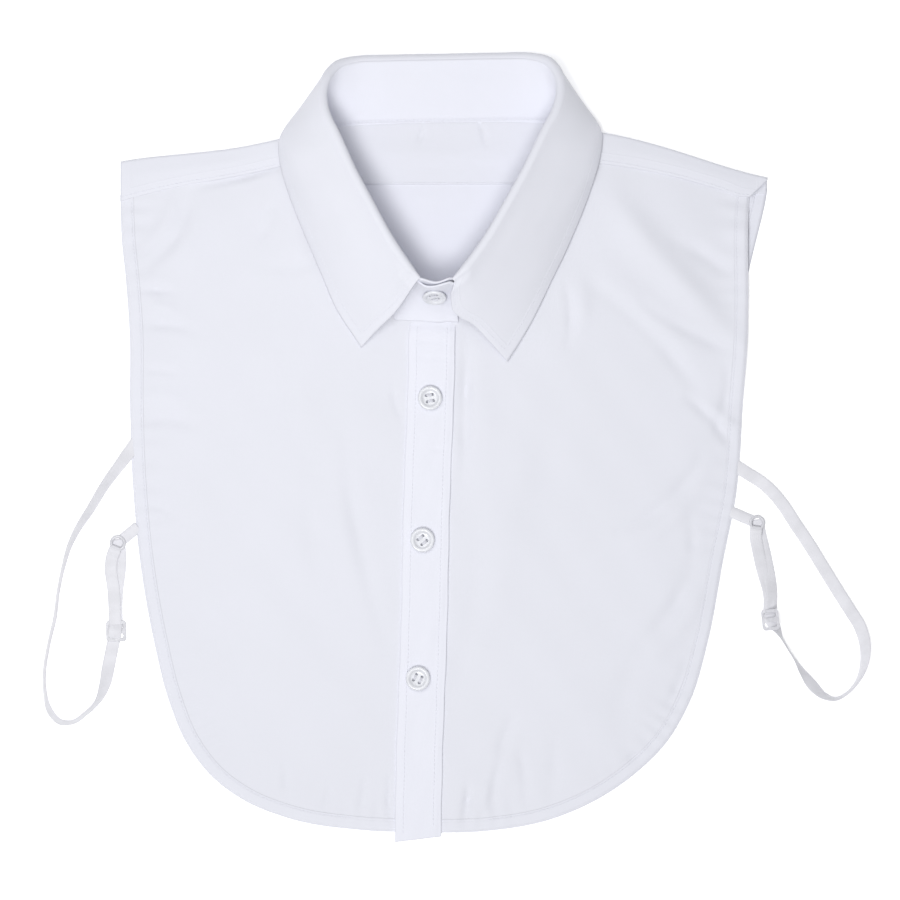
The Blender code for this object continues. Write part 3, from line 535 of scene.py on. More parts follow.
def neck_lift(x, y):
    """How much the collar lifts the fronts: NECK_LIFT * exp(-(d/reach)^2), d from the neckline in plan."""
    away, _ = nearest_on(np.abs(x), y, neckline(60))
    return NECK_LIFT * np.exp(-((away / NECK_LIFT_REACH) ** 2))


def front_middle(x, y):
    """The height of the middle of the fronts' cloth, with the folds but not the small creases."""
    return FRONT_UNDERSIDE + neck_lift(x, y) + fold_height(x, y) + PANEL_WALL / 2


def small_creases(x, y):
    """The small creases of the fronts and a slow unevenness, quieter under the collar."""
    away, _ = nearest_on(np.abs(x), y, neckline(60))
    open_cloth = 0.15 + 0.85 * smoothstep(away, 12.0, 34.0)
    return open_cloth * (1.35 * crease_height(x, y, FRONT_CREASES) + 0.32 * ripple(x, y, 52.0, 1.0))


def armhole_lift(away, y, side):
    """How far the right armhole stands off the back: ARMHOLE_LIFT * exp(-(d / 9 mm)^2), on its straight run."""
    run = smoothstep(y, 22.0, 60.0) * (1.0 - smoothstep(y, 112.0, 132.0))
    return ARMHOLE_LIFT * (side > 0) * run * np.exp(-((away / 9.0) ** 2))


def edge_roll(away):
    """How far a hem's edge turns down: HEM_ROLL * exp(-(d / 1.1 mm)^2), d from the edge."""
    return HEM_ROLL * np.exp(-((away / 1.1) ** 2))


def hem_puckers(away, along):
    """Puckers beside a hem: waves across it that fade out over 16 mm into the cloth."""
    waves = np.sin(along * 0.62 + 1.6 * np.sin(along * 0.11)) * (0.5 + 0.5 * np.sin(along * 0.047 + 0.8))
    inside = np.exp(-(((away - 8.0) / 8.0) ** 2))
    return 0.30 * waves * inside


def yoke_underside(x, y):
    """The height of the underside of the yoke's back: on the surface, and over the leaf folded under it."""
    near = 1.0 - smoothstep(np.abs(x), YOKE_LIFT_INSIDE, YOKE_LIFT_OUTSIDE)
    return YOKE_OVER_LEAF * near * smoothstep(y, YOKE_LIFT_FROM, YOKE_LIFT_TO)


def front_seam(x):
    """The height in plan of the seam between the yoke and the fronts."""
    left, right = (
        np.interp(
            np.abs(x),
            [NECK_POINT[0], SEAM_MIDDLE_X, shoulder.seam_tip_x],
            [shoulder.seam_neck_y, shoulder.seam_middle_y, shoulder.seam_tip_y],
        )
        for shoulder in SHOULDERS
    )
    return np.where(np.asarray(x) < 0.0, left, right)


def fold_line(x):
    """The outermost line of the yoke's fold at each shoulder, in plan."""
    left, right = (
        np.interp(np.abs(x), [NECK_POINT[0], s.tip_x], [NECK_POINT[1], s.tip_y]) for s in SHOULDERS
    )
    return np.where(np.asarray(x) < 0.0, left, right)


def inset(points):
    """An outline moved inwards: towards the centre line at the sides and up at the hem."""
    x, y = points[:, 0], points[:, 1]
    side = BACK_INSET * smoothstep(np.abs(x), 20.0, 120.0) * np.sign(x)
    up = BACK_INSET * (1.0 - smoothstep(y, -190.0, -120.0))
    return np.stack([x - side, y + up], axis=1)


def with_height(plan, height):
    """Points in plan with their height as a third coordinate."""
    return np.concatenate([plan[..., :2], np.asarray(height)[..., None]], axis=-1)


def whole_collar(count, sections):
    """The core, neck, middle, edge and bow at even shares from the left front end to the right one."""
    half = np.array([[*s.core, *s.neck, *s.middle, *s.edge, s.bow] for s in sections])
    other = half[:0:-1].copy()
    other[:, [0, 3, 6, 9]] *= -1.0
    lines = along_curve(np.concatenate([other, half]), even(count))
    return lines[:, 0:3], lines[:, 3:6], lines[:, 6:9], lines[:, 9:12], lines[:, 12]


def roll_frame(core, neck, middle):
    """At each section, the way down from the roll and the way from the stand's side to the leaf's."""
    along = unit(np.gradient(core, axis=0))
    down = unit(neck - core) + unit(middle - core)
    down = unit(down - (down * along).sum(axis=1, keepdims=True) * along)
    return down, np.cross(along, down)


def top_of_bib(x, y):
    """The height of the uppermost layer beside the collar: a front, or the yoke where that laps over it."""
    seam = front_seam(x)
    yoke_on_top = smoothstep(y, seam - 14.0, seam - YOKE_LAP)
    return front_middle(x, y) + PANEL_WALL / 2 + (SEAM_GAP + PANEL_WALL) * yoke_on_top


# Meshes


def new_object(name, mesh, looks, body="root"):
    """An object for a mesh, in the scene and riding on the garment."""
    for look in looks:
        mesh.materials.append(look)
    made = bpy.data.objects.new(name, mesh)
    bpy.context.scene.collection.objects.link(made)
    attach(made, body)
    return made


def quads(rows, columns, closed_rows=False, closed_columns=False):
    """The faces of a grid of points, wrapped round where it is closed."""
    first = np.arange(rows * columns).reshape(rows, columns)
    if closed_rows:
        first = np.concatenate([first, first[:1]])
    if closed_columns:
        first = np.concatenate([first, first[:, :1]], axis=1)
    return np.stack([first[:-1, :-1], first[1:, :-1], first[1:, 1:], first[:-1, 1:]], axis=-1)


def caps(rows, columns):
    """The faces that close both ends of a tube of points."""
    fan = np.array([[0, k, k + 1, k + 2] for k in range(1, columns - 2, 2)])
    return np.concatenate([fan, fan[:, ::-1] + (rows - 1) * columns])


def mesh_of(name, corners, faces, maps=None):
    """A smooth mesh of corners in metres and faces, with a UV map for each entry of maps, in millimetres."""
    mesh = bpy.data.meshes.new(name)
    faces = np.asarray(faces)
    sides = faces.shape[-1]
    flat = faces.reshape(-1)
    mesh.vertices.add(len(corners))
    mesh.vertices.foreach_set("co", np.asarray(corners, np.float32).ravel())
    mesh.loops.add(flat.size)
    mesh.loops.foreach_set("vertex_index", flat.astype(np.int32))
    mesh.polygons.add(flat.size // sides)
    mesh.polygons.foreach_set("loop_start", np.arange(0, flat.size, sides, dtype=np.int32))
    mesh.polygons.foreach_set("use_smooth", np.ones(flat.size // sides, bool))
    for map_name, values in (maps or {}).items():
        layer = mesh.uv_layers.new(name=map_name)
        layer.data.foreach_set("uv", np.asarray(values, np.float32).reshape(-1, 2)[flat].ravel())
    mesh.validate()
    mesh.update()
    return mesh


def cloth(name, points, maps, wall, looks, keep=None):
    """A shell of cloth, half its wall on each side of a grid of points. keep says which faces are cloth."""
    rows, columns = points.shape[:2]
    faces = quads(rows, columns).reshape(-1, 4) if keep is None else quads(rows, columns)[keep]
    used, faces = np.unique(faces, return_inverse=True)
    corners = laid(points).reshape(-1, 3)[used] * MM
    maps = {key: np.asarray(values).reshape(-1, 2)[used] for key, values in maps.items()}
    made = new_object(name, mesh_of(name, corners, faces.reshape(-1, 4), maps), looks)
    solid = made.modifiers.new("wall", "SOLIDIFY")
    solid.thickness = wall * MM
    solid.offset = 0.0
    solid.use_even_offset = False
    solid.use_quality_normals = True
    return made


def flat_area(points, keep=None):
    """The area of a grid of points, in square metres: half the cross product of each face's diagonals."""
    first = points[1:, 1:] - points[:-1, :-1]
    second = points[1:, :-1] - points[:-1, 1:]
    areas = np.linalg.norm(np.cross(first, second), axis=-1) / 2
    return float((areas if keep is None else areas[keep]).sum()) * MM * MM


def swept(path, across, width_way, height_way):
    """A profile (x, z pairs) carried along a path: point + x * width way + z * height way at each place."""
    section = across[None, :, 0, None] * width_way[:, None] + across[None, :, 1, None] * height_way[:, None]
    return path[:, None] + section


# Materials


class Socket:
    """A node's output in an expression: + - * / and functions give Math nodes."""

    def __init__(self, maker, link):
        self.maker, self.link = maker, link

    def math(self, operation, *others):
        node = self.maker.node("ShaderNodeMath", operation=operation)
        for place, value in enumerate((self, *others)):
            self.maker.feed(node.inputs[place], value)
        return Socket(self.maker, node.outputs[0])

    def __add__(self, other):
        return self.math("ADD", other)

    def __sub__(self, other):
        return self.math("SUBTRACT", other)

    def __mul__(self, other):
        return self.math("MULTIPLY", other)

    def __truediv__(self, other):
        return self.math("DIVIDE", other)

    def __radd__(self, other):
        return self.math("ADD", other)

    def __rmul__(self, other):
        return self.math("MULTIPLY", other)

    def __rsub__(self, other):
        return self.math("MULTIPLY", -1.0).math("ADD", other)

    def sin(self):
        return self.math("SINE")

    def abs(self):
        return self.math("ABSOLUTE")

    def power(self, other):
        return self.math("POWER", other)

    def fraction(self):
        return self.math("FRACT")

    def below(self, other):
        return self.math("LESS_THAN", other)

    def within(self, low, high):
        """0 at low, 1 at high and smooth between."""
        node = self.maker.node("ShaderNodeMapRange", interpolation_type="SMOOTHSTEP")
        self.maker.feed(node.inputs["Value"], self)
        node.inputs["From Min"].default_value = low
        node.inputs["From Max"].default_value = high
        return Socket(self.maker, node.outputs["Result"])


class Finish:
    """A material under construction, with one way to make each kind of node."""

    def __init__(self, name):
        self.material = bpy.data.materials.new(name)
        self.material.use_nodes = True
        self.tree = self.material.node_tree
        self.shader = self.tree.nodes["Principled BSDF"]

    def node(self, kind, **settings):
        node = self.tree.nodes.new(kind)
        for key, value in settings.items():
            setattr(node, key, value)
        return node

    def feed(self, slot, value):
        if isinstance(value, Socket):
            self.tree.links.new(value.link, slot)
        else:
            slot.default_value = value

    def uv(self, name):
        """The two coordinates of a UV map, in millimetres."""
        split = self.node("ShaderNodeSeparateXYZ")
        self.tree.links.new(self.node("ShaderNodeUVMap", uv_map=name).outputs["UV"], split.inputs[0])
        return Socket(self, split.outputs[0]), Socket(self, split.outputs[1])

    def vector(self, x, y, z=0.0):
        node = self.node("ShaderNodeCombineXYZ")
        for place, value in enumerate((x, y, z)):
            self.feed(node.inputs[place], value)
        return Socket(self, node.outputs[0])

    def place(self):
        """The place on the object, in metres."""
        return Socket(self, self.node("ShaderNodeTexCoord").outputs["Object"])

    def noise(self, where, scale, detail=3.0, roughness=0.5, distortion=0.0):
        node = self.node("ShaderNodeTexNoise")
        self.feed(node.inputs["Vector"], where)
        node.inputs["Scale"].default_value = scale
        node.inputs["Detail"].default_value = detail
        node.inputs["Roughness"].default_value = roughness
        node.inputs["Distortion"].default_value = distortion
        return Socket(self, node.outputs["Fac"])

    def blend(self, share, first, second):
        node = self.node("ShaderNodeMix", data_type="RGBA")
        self.feed(node.inputs[0], share)
        self.feed(node.inputs[6], (*first, 1.0) if isinstance(first, tuple) else first)
        self.feed(node.inputs[7], (*second, 1.0) if isinstance(second, tuple) else second)
        return Socket(self, node.outputs[2])

    def bump(self, height, distance, strength=1.0):
        """Height, in millimetres times distance, as a bump of the surface."""
        node = self.node("ShaderNodeBump")
        node.inputs["Distance"].default_value = distance * MM
        node.inputs["Strength"].default_value = strength
        self.feed(node.inputs["Height"], height)
        self.tree.links.new(node.outputs["Normal"], self.shader.inputs["Normal"])

    def set(self, **values):
        """Constant values of the shader's own sockets."""
        for key, value in values.items():
            self.shader.inputs[key.replace("_", " ")].default_value = value

    def vary(self, name, value):
        self.feed(self.shader.inputs[name], value)


def poplin(name, colour, hem_width, hem_step, lighter):
    """Fine plain-woven cotton. UV "cloth" is the place on the cloth, UV "seam" the length and distance of its edge.

    Height = threads crossing as sin * sin at the weave's pitch + slubs + the step of the turned hem at hem_width
    + the groove that its stitches pull. The hem is a little brighter, as it is doubled cloth.
    """
    made = Finish(name)
    u, v = made.uv("cloth")
    _, away = made.uv("seam")
    threads = (u * (2 * math.pi / 0.42)).sin() * (v * (2 * math.pi / 0.34)).sin()
    warp = made.noise(made.vector(u * 2.2, v * 0.05), 1.0, 2.0)
    weft = made.noise(made.vector(u * 0.05, v * 2.6, 4.0), 1.0, 2.0)
    soft = made.noise(made.vector(u * 0.02, v * 0.02, 9.0), 1.0, 3.0, 0.55)
    slubs = warp + weft
    hem = away.within(hem_width + 0.35, hem_width - 0.35)
    groove = (away - (hem_width - 1.1)).abs().within(0.9, 0.0)
    tone = slubs * 0.06 + soft * 0.5 + hem * 0.12
    made.vary("Base Color", made.blend(tone, tuple(c * 0.975 for c in colour), lighter))
    made.vary("Roughness", soft * 0.1 + 0.78)
    made.bump(threads * 0.012 + slubs * 0.03 + hem * hem_step - groove * (0.45 * hem_step), 1.0)
    made.set(Sheen_Weight=0.25, Sheen_Roughness=0.5, Sheen_Tint=(1.0, 1.0, 1.0, 1.0), Specular_IOR_Level=0.25)
    return made.material


def elastic(name, colour):
    """Narrow plush elastic. UV "band" is the length along it and the place across it, in millimetres.

    Height = fine ribs across + lengthwise cords + a scalloped selvedge at each side.
    """
    made = Finish(name)
    along, across = made.uv("band")
    ribs = (along * (2 * math.pi / 0.85)).sin()
    cords = (across * (2 * math.pi / 0.95)).sin()
    edge = across.abs().within(2.7, 3.3)
    scallop = (along * (2 * math.pi / 1.7)).sin() * edge
    wear = made.noise(made.vector(along * 0.11, across * 0.08), 1.0, 2.0)
    # Base colour: a darker random tone, and the sides of the band painted darker as painted shade along its edges.
    made.vary("Base Color", made.blend(wear.within(0.35, 0.65) * 0.4 + edge * 0.2, colour, tuple(c * 0.86 for c in colour)))
    made.vary("Roughness", wear * 0.15 + 0.5)
    made.bump(ribs * 0.018 + cords * 0.012 + scallop * 0.03, 1.0)
    made.set(Sheen_Weight=0.3, Sheen_Roughness=0.4, Specular_IOR_Level=0.4)
    return made.material


def button_plastic(name, colour):
    """Pearly resin: cloudy bands across the button, glossy, with a clear coat."""
    made = Finish(name)
    where = made.place()
    cloud = made.noise(where, 420.0, 3.0, 0.6, 1.2)
    veins = made.noise(where, 900.0, 2.0, 0.5, 2.0)
    tone = cloud.within(0.35, 0.7) * 0.7 + veins * 0.3
    made.vary("Base Color", made.blend(tone, tuple(c * 0.87 for c in colour), colour))
    made.vary("Roughness", veins * 0.12 + 0.24)
    made.bump(cloud, 0.03)
    made.set(Coat_Weight=0.3, Coat_Roughness=0.12, Subsurface_Weight=0.3, Subsurface_Radius=(0.002, 0.002, 0.002))
    return made.material


def clear_plastic(name, colour):
    """Moulded translucent plastic: faint flow marks, a satin gloss and a fine mould texture."""
    made = Finish(name)
    where = made.place()
    flow = made.noise(where, 300.0, 3.0, 0.5, 1.5)
    fine = made.noise(where, 2600.0, 2.0)
    made.vary("Base Color", made.blend(flow.within(0.3, 0.7), tuple(c * 0.86 for c in colour), colour))
    made.vary("Roughness", flow * 0.15 + 0.26)
    made.bump(fine * 0.4 + flow, 0.02)
    made.set(Coat_Weight=0.3, Coat_Roughness=0.1, Subsurface_Weight=0.2, Subsurface_Radius=(0.002, 0.002, 0.002))
    return made.material


def thread(name, colour):
    """Mercerised sewing thread: twisted strands along each stitch, with a low sheen."""
    made = Finish(name)
    along, _ = made.uv("band")
    twist = (along * (2 * math.pi / 0.45)).sin()
    fuzz = made.noise(made.place(), 4000.0, 2.0)
    made.vary("Base Color", made.blend(fuzz * 0.5 + twist * 0.1, colour, tuple(c * 0.9 for c in colour)))
    made.vary("Roughness", fuzz * 0.2 + 0.45)
    made.bump(twist * 0.04 + fuzz * 0.02, 1.0)
    made.set(Specular_IOR_Level=0.45)
    return made.material


def table_top(name, colour, glow):
    """A matt pale table, lit a little from within so that it stays white round the cloth."""
    made = Finish(name)
    grain = made.noise(made.place(), 14.0, 3.0)
    made.vary("Base Color", made.blend(grain * 0.3, colour, tuple(c * 0.985 for c in colour)))
    made.vary("Roughness", grain * 0.1 + 0.7)
    made.set(Emission_Strength=glow, Emission_Color=(1.0, 1.0, 1.0, 1.0), Specular_IOR_Level=0.0)
    return made.material


DOUBLED_TONE = 1.025


def look(name):
    """A finish of the garment by name, made once from the sizes and colours in the sidebar."""
    full = "shirt_" + name
    if full in bpy.data.materials:
        return bpy.data.materials[full]
    scene = bpy.context.scene
    cloth_settings, trim = scene.shirt_cloth, scene.shirt_trim
    colour = tuple(cloth_settings.colour)
    lighter = tuple(cloth_settings.hem_colour)
    if name == "poplin":
        return poplin(full, colour, cloth_settings.hem_width, 0.30, lighter)
    # Lighter copy of the poplin for the back panel: painted light that lifts the shade it lies in inside the neck and
    # the armhole.
    if name == "poplin_lightened_against_shade":
        return poplin(full, lighter, cloth_settings.hem_width, 0.30, lighter)
    if name == "poplin_turned":
        return poplin(full, colour, cloth_settings.edge_stitch, 0.10, lighter)
    if name == "poplin_doubled":
        doubled = tuple(DOUBLED_TONE * c for c in lighter)
        return poplin(full, doubled, cloth_settings.edge_stitch, 0.03, doubled)
    if name == "elastic":
        return elastic(full, tuple(trim.elastic_colour))
    if name == "button":
        return button_plastic(full, tuple(trim.button_colour))
    if name == "hardware":
        return clear_plastic(full, tuple(trim.hardware_colour))
    return thread(full, tuple(trim.thread_colour))


# Sewing

SEWN = []


def sew(points, lift=0.0):
    """Keeps a line of stitches to be sewn: points on the cloth and the lift to its surface, in millimetres."""
    points = np.array(points, float)
    points[:, 2] += lift
    SEWN.append(points)


def stitches_along(line, length, gap, radius):
    """Stitches along a line: each is a bowed spindle of radius * sin(pi * t)^0.5, its middle above the cloth."""
    line = laid(line)
    lengths = lengths_along(line)
    pitch = length + gap
    count = int(lengths[-1] // pitch)
    starts = (np.arange(count) + 0.5 * gap / pitch) * pitch
    t = np.linspace(0.0, 1.0, 6)
    at = starts[:, None] + t[None] * length
    middle = np.stack([np.interp(at, lengths, line[:, axis]) for axis in range(3)], axis=-1)
    along = unit(middle[:, -1] - middle[:, 0])[:, None]
    middle[..., 2] += 0.7 * radius * np.sin(math.pi * t)
    side = unit(np.cross(along, [0.0, 0.0, 1.0]))
    up = np.cross(side, along)
    angles = np.arange(6) * (math.pi / 3)
    swell = radius * np.sqrt(np.sin(math.pi * (0.04 + 0.92 * t)))[None, :, None, None]
    ring = np.cos(angles)[None, None, :, None] * side[:, :, None] + 0.8 * np.sin(angles)[None, None, :, None] * up[:, :, None]
    points = middle[:, :, None] + swell * ring
    cells = np.concatenate([quads(6, 6, closed_columns=True).reshape(-1, 4), caps(6, 6)])
    faces = (np.arange(count) * 36)[:, None, None] + cells[None]
    band = np.stack(np.broadcast_arrays(at[:, :, None], angles[None, None, :]), axis=-1)
    return points.reshape(-1, 3), faces.reshape(-1, 4), band.reshape(-1, 2)


# Settings


class ShirtClothSettings(bpy.types.PropertyGroup):
    """Sizes and colours of the cloth."""

    panel_wall: bpy.props.FloatProperty(
        name="Panel thickness", description="Thickness of the poplin panels in millimetres", default=0.45, min=0.1
    )
    collar_wall: bpy.props.FloatProperty(
        name="Collar thickness", description="Thickness of the interlined collar in millimetres", default=0.9, min=0.1
    )
    hem_width: bpy.props.FloatProperty(
        name="Hem width", description="Width of the turned hem round the bib in millimetres", default=7.0, min=1.0
    )
    edge_stitch: bpy.props.FloatProperty(
        name="Edge stitch", description="Distance of the collar's topstitching from its edge in millimetres", default=5.5
    )
    colour: bpy.props.FloatVectorProperty(
        name="Cloth colour", description="Colour of the poplin", default=(0.775, 0.782, 0.84), subtype="COLOR"
    )
    # Also the colour of the back panel, where it is painted light against the shade inside the neck.
    hem_colour: bpy.props.FloatVectorProperty(
        name="Hem colour", description="Colour of the doubled cloth", default=(0.81, 0.817, 0.888), subtype="COLOR"
    )


class ShirtTrimSettings(bpy.types.PropertyGroup):
    """Sizes and colours of the straps, the thread and the plastic."""

    strap_width: bpy.props.FloatProperty(
        name="Strap width", description="Width of the elastic straps in millimetres", default=6.7, min=2.0
    )
    strap_wall: bpy.props.FloatProperty(
        name="Strap thickness", description="Thickness of the elastic in millimetres", default=0.9, min=0.2
    )
    return_width: bpy.props.FloatProperty(
        name="Return width", description="Width of the doubled elastic in millimetres", default=6.4, min=2.0
    )
    stitch_length: bpy.props.FloatProperty(
        name="Stitch length", description="Length of a topstitch in millimetres", default=1.7, min=0.5
    )
    button_radius: bpy.props.FloatProperty(
        name="Button radius", description="Radius of a button in millimetres", default=6.3, min=2.0
    )
    ring_radius: bpy.props.FloatProperty(
        name="Ring radius", description="Radius of a strap ring to the middle of its wire, in millimetres", default=3.4
    )
    ring_wire: bpy.props.FloatProperty(
        name="Ring wire", description="Radius of the wire of a strap ring in millimetres", default=0.85, min=0.1
    )
    elastic_colour: bpy.props.FloatVectorProperty(
        name="Elastic colour", description="Colour of the straps", default=(0.77, 0.768, 0.81), subtype="COLOR"
    )
    button_colour: bpy.props.FloatVectorProperty(
        name="Button colour", description="Colour of the pearly buttons", default=(0.82, 0.83, 0.87), subtype="COLOR"
    )
    hardware_colour: bpy.props.FloatVectorProperty(
        name="Hardware colour", description="Colour of the rings and sliders", default=(0.70, 0.70, 0.74), subtype="COLOR"
    )
    thread_colour: bpy.props.FloatVectorProperty(
        name="Thread colour", description="Colour of the sewing thread", default=(0.85, 0.855, 0.92), subtype="COLOR"
    )


class ShirtStageSettings(bpy.types.PropertyGroup):
    """The table, the light and the camera."""

    camera_distance: bpy.props.FloatProperty(
        name="Camera distance", description="Height of the camera over the bib", default=2.6, unit="LENGTH"
    )
    view_width: bpy.props.FloatProperty(
        name="View width", description="Width of what the camera sees at the bib", default=0.468, unit="LENGTH"
    )
    key_strength: bpy.props.FloatProperty(
        name="Key light", description="Power of the large light at the lower left in watts", default=24.0, unit="POWER"
    )
    near_strength: bpy.props.FloatProperty(
        name="Near light", description="Power of the near light over the left front in watts", default=1.25, unit="POWER"
    )
    sky_strength: bpy.props.FloatProperty(
        name="Surrounding light", description="Strength of the even light all round", default=0.38
    )
    table_glow: bpy.props.FloatProperty(
        name="Table glow", description="Light that the table gives off itself", default=0.40
    )
    table_colour: bpy.props.FloatVectorProperty(
        name="Table colour", description="Colour of the table", default=(0.92, 0.92, 0.92), subtype="COLOR"
    )


# Operators


class SHIRT_OT_back(bpy.types.Operator):
    """Back panel, flat on the table"""

    bl_idname = "shirt.back"
    bl_label = "Back panel"

    def execute(self, context):
        settings = context.scene.shirt_cloth
        top_y = YOKE_SEAM + YOKE_LAP
        sides = []
        for edge in (LEFT_EDGE, RIGHT_EDGE):
            line = inset(along_curve([(edge[0][0], top_y), *edge[1:]], even(260)))
            if edge is RIGHT_EDGE:
                line[:, 0] += (BACK_SHOWS + BACK_INSET) * smoothstep(line[:, 1], BACK_SHOWS_FROM, BACK_SHOWS_TO)
            sides.append(line)
        left, right = sides
        outline = np.concatenate([left, right[::-1]])
        v = even(len(left))
        half_left, half_right = (
            patch(
                np.linspace([PLACKET_MIDDLE, top_y], side[0], 90),
                np.repeat(side[-1:], 90, axis=0),
                np.linspace([PLACKET_MIDDLE, top_y], side[-1], len(side)),
                side,
                even(90),
                v,
            )
            for side in sides
        )
        plan = np.concatenate([half_left[:, ::-1], half_right[:, 1:]], axis=1)
        x, y = plan[..., 0], plan[..., 1]
        away, along = nearest_on(x, y, outline)
        z = PANEL_WALL / 2 + crease_height(x, y, BACK_CREASES) - 0.25 * smoothstep(y, YOKE_SEAM - 8.0, YOKE_SEAM)
        points = with_height(plan, z)
        made = cloth(
            "back_cloth",
            points,
            {"cloth": plan, "seam": np.stack([along, away], axis=-1)},
            settings.panel_wall,
            # The back's poplin is the lighter copy of the cloth: painted light against the shade inside the neck.
            [look("poplin_lightened_against_shade")],
        )
        weld(made)
        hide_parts("back_panel")
        flat_area(points)
        sewn = offset_line(outline, settings.hem_width - 1.1)
        sew(with_height(sewn, np.full(len(sewn), PANEL_WALL / 2)), settings.panel_wall / 2)
        return {"FINISHED"}


def weld(piece):
    """Joins the corners that lie on each other where a grid runs to a point."""
    shape = bmesh.new()
    shape.from_mesh(piece.data)
    bmesh.ops.remove_doubles(shape, verts=shape.verts, dist=1e-6)
    bmesh.ops.dissolve_degenerate(shape, edges=shape.edges, dist=1e-7)
    shape.to_mesh(piece.data)
    shape.free()


def offset_line(line, distance):
    """A line in plan moved inwards, to the left of its run, by a distance: point + distance * normal."""
    smooth = read_line(line, even(700))
    run = unit(np.gradient(smooth, axis=0))
    return smooth + distance * np.stack([-run[:, 1], run[:, 0]], axis=1)


def front_outline(side, edge):
    """The top, from the centre front along the neckline and the yoke's seam, and the outer edge down to the hem."""
    neck = neckline(40)
    inwards = unit(np.stack([-np.gradient(neck[:, 1]), np.gradient(neck[:, 0])], axis=1))
    neck = (neck - NECK_SEAM * inwards)[FRONT_NECK]
    inner_x = PLACKET_MIDDLE + side * SEAM_GAP / 2
    shoulder_x = np.linspace(NECK_POINT[0], abs(edge[0][0]), 30)
    seam = np.stack([side * shoulder_x, front_seam(side * shoulder_x) + YOKE_LAP], axis=1)
    top = np.concatenate([[[inner_x, neck[0, 1] - SEAM_GAP]], neck * [side, 1.0], seam])
    outer = along_curve([tuple(top[-1]), *edge[1:-1], (inner_x, edge[-1][1])], even(300))
    return top, outer


class SHIRT_OT_fronts(bpy.types.Operator):
    """Left and right front, with their creases and hems"""

    bl_idname = "shirt.fronts"
    bl_label = "Fronts"

    def execute(self, context):
        settings = context.scene.shirt_cloth
        for name, side, edge in (("left_front", -1.0, LEFT_EDGE), ("right_front", 1.0, RIGHT_EDGE)):
            top, outer = front_outline(side, edge)
            columns = 150
            u = 1.0 - (1.0 - even(columns)) ** 1.35
            v = even(len(outer))
            inner = np.linspace(top[0], outer[-1], len(outer))
            plan = patch(read_line(top, u), np.repeat(outer[-1:], columns, axis=0), inner, outer, u, v)
            if side < 0:
                plan = plan[:, ::-1]
            x, y = plan[..., 0], plan[..., 1]
            away, along = nearest_on(x, y, outer)
            beside = smoothstep(np.abs(x - PLACKET_MIDDLE), 8.0, 16.0)
            z = front_middle(x, y) + beside * (small_creases(x, y) + hem_puckers(away, along))
            z += armhole_lift(away, y, side) - edge_roll(away)
            points = with_height(plan, z)
            made = cloth(
                name + "_cloth",
                points,
                {"cloth": plan, "seam": np.stack([along, away], axis=-1)},
                settings.panel_wall,
                [look("poplin")],
            )
            weld(made)
            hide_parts(name)
            flat_area(points)
            sewn = offset_line(outer[:-24], -side * (settings.hem_width - 1.1))[6:]
            away, along = nearest_on(sewn[:, 0], sewn[:, 1], outer)
            height = front_middle(sewn[:, 0], sewn[:, 1]) + small_creases(sewn[:, 0], sewn[:, 1])
            height += armhole_lift(away, sewn[:, 1], side) - edge_roll(away)
            sew(with_height(sewn, height + hem_puckers(away, along)), settings.panel_wall / 2)
        return {"FINISHED"}


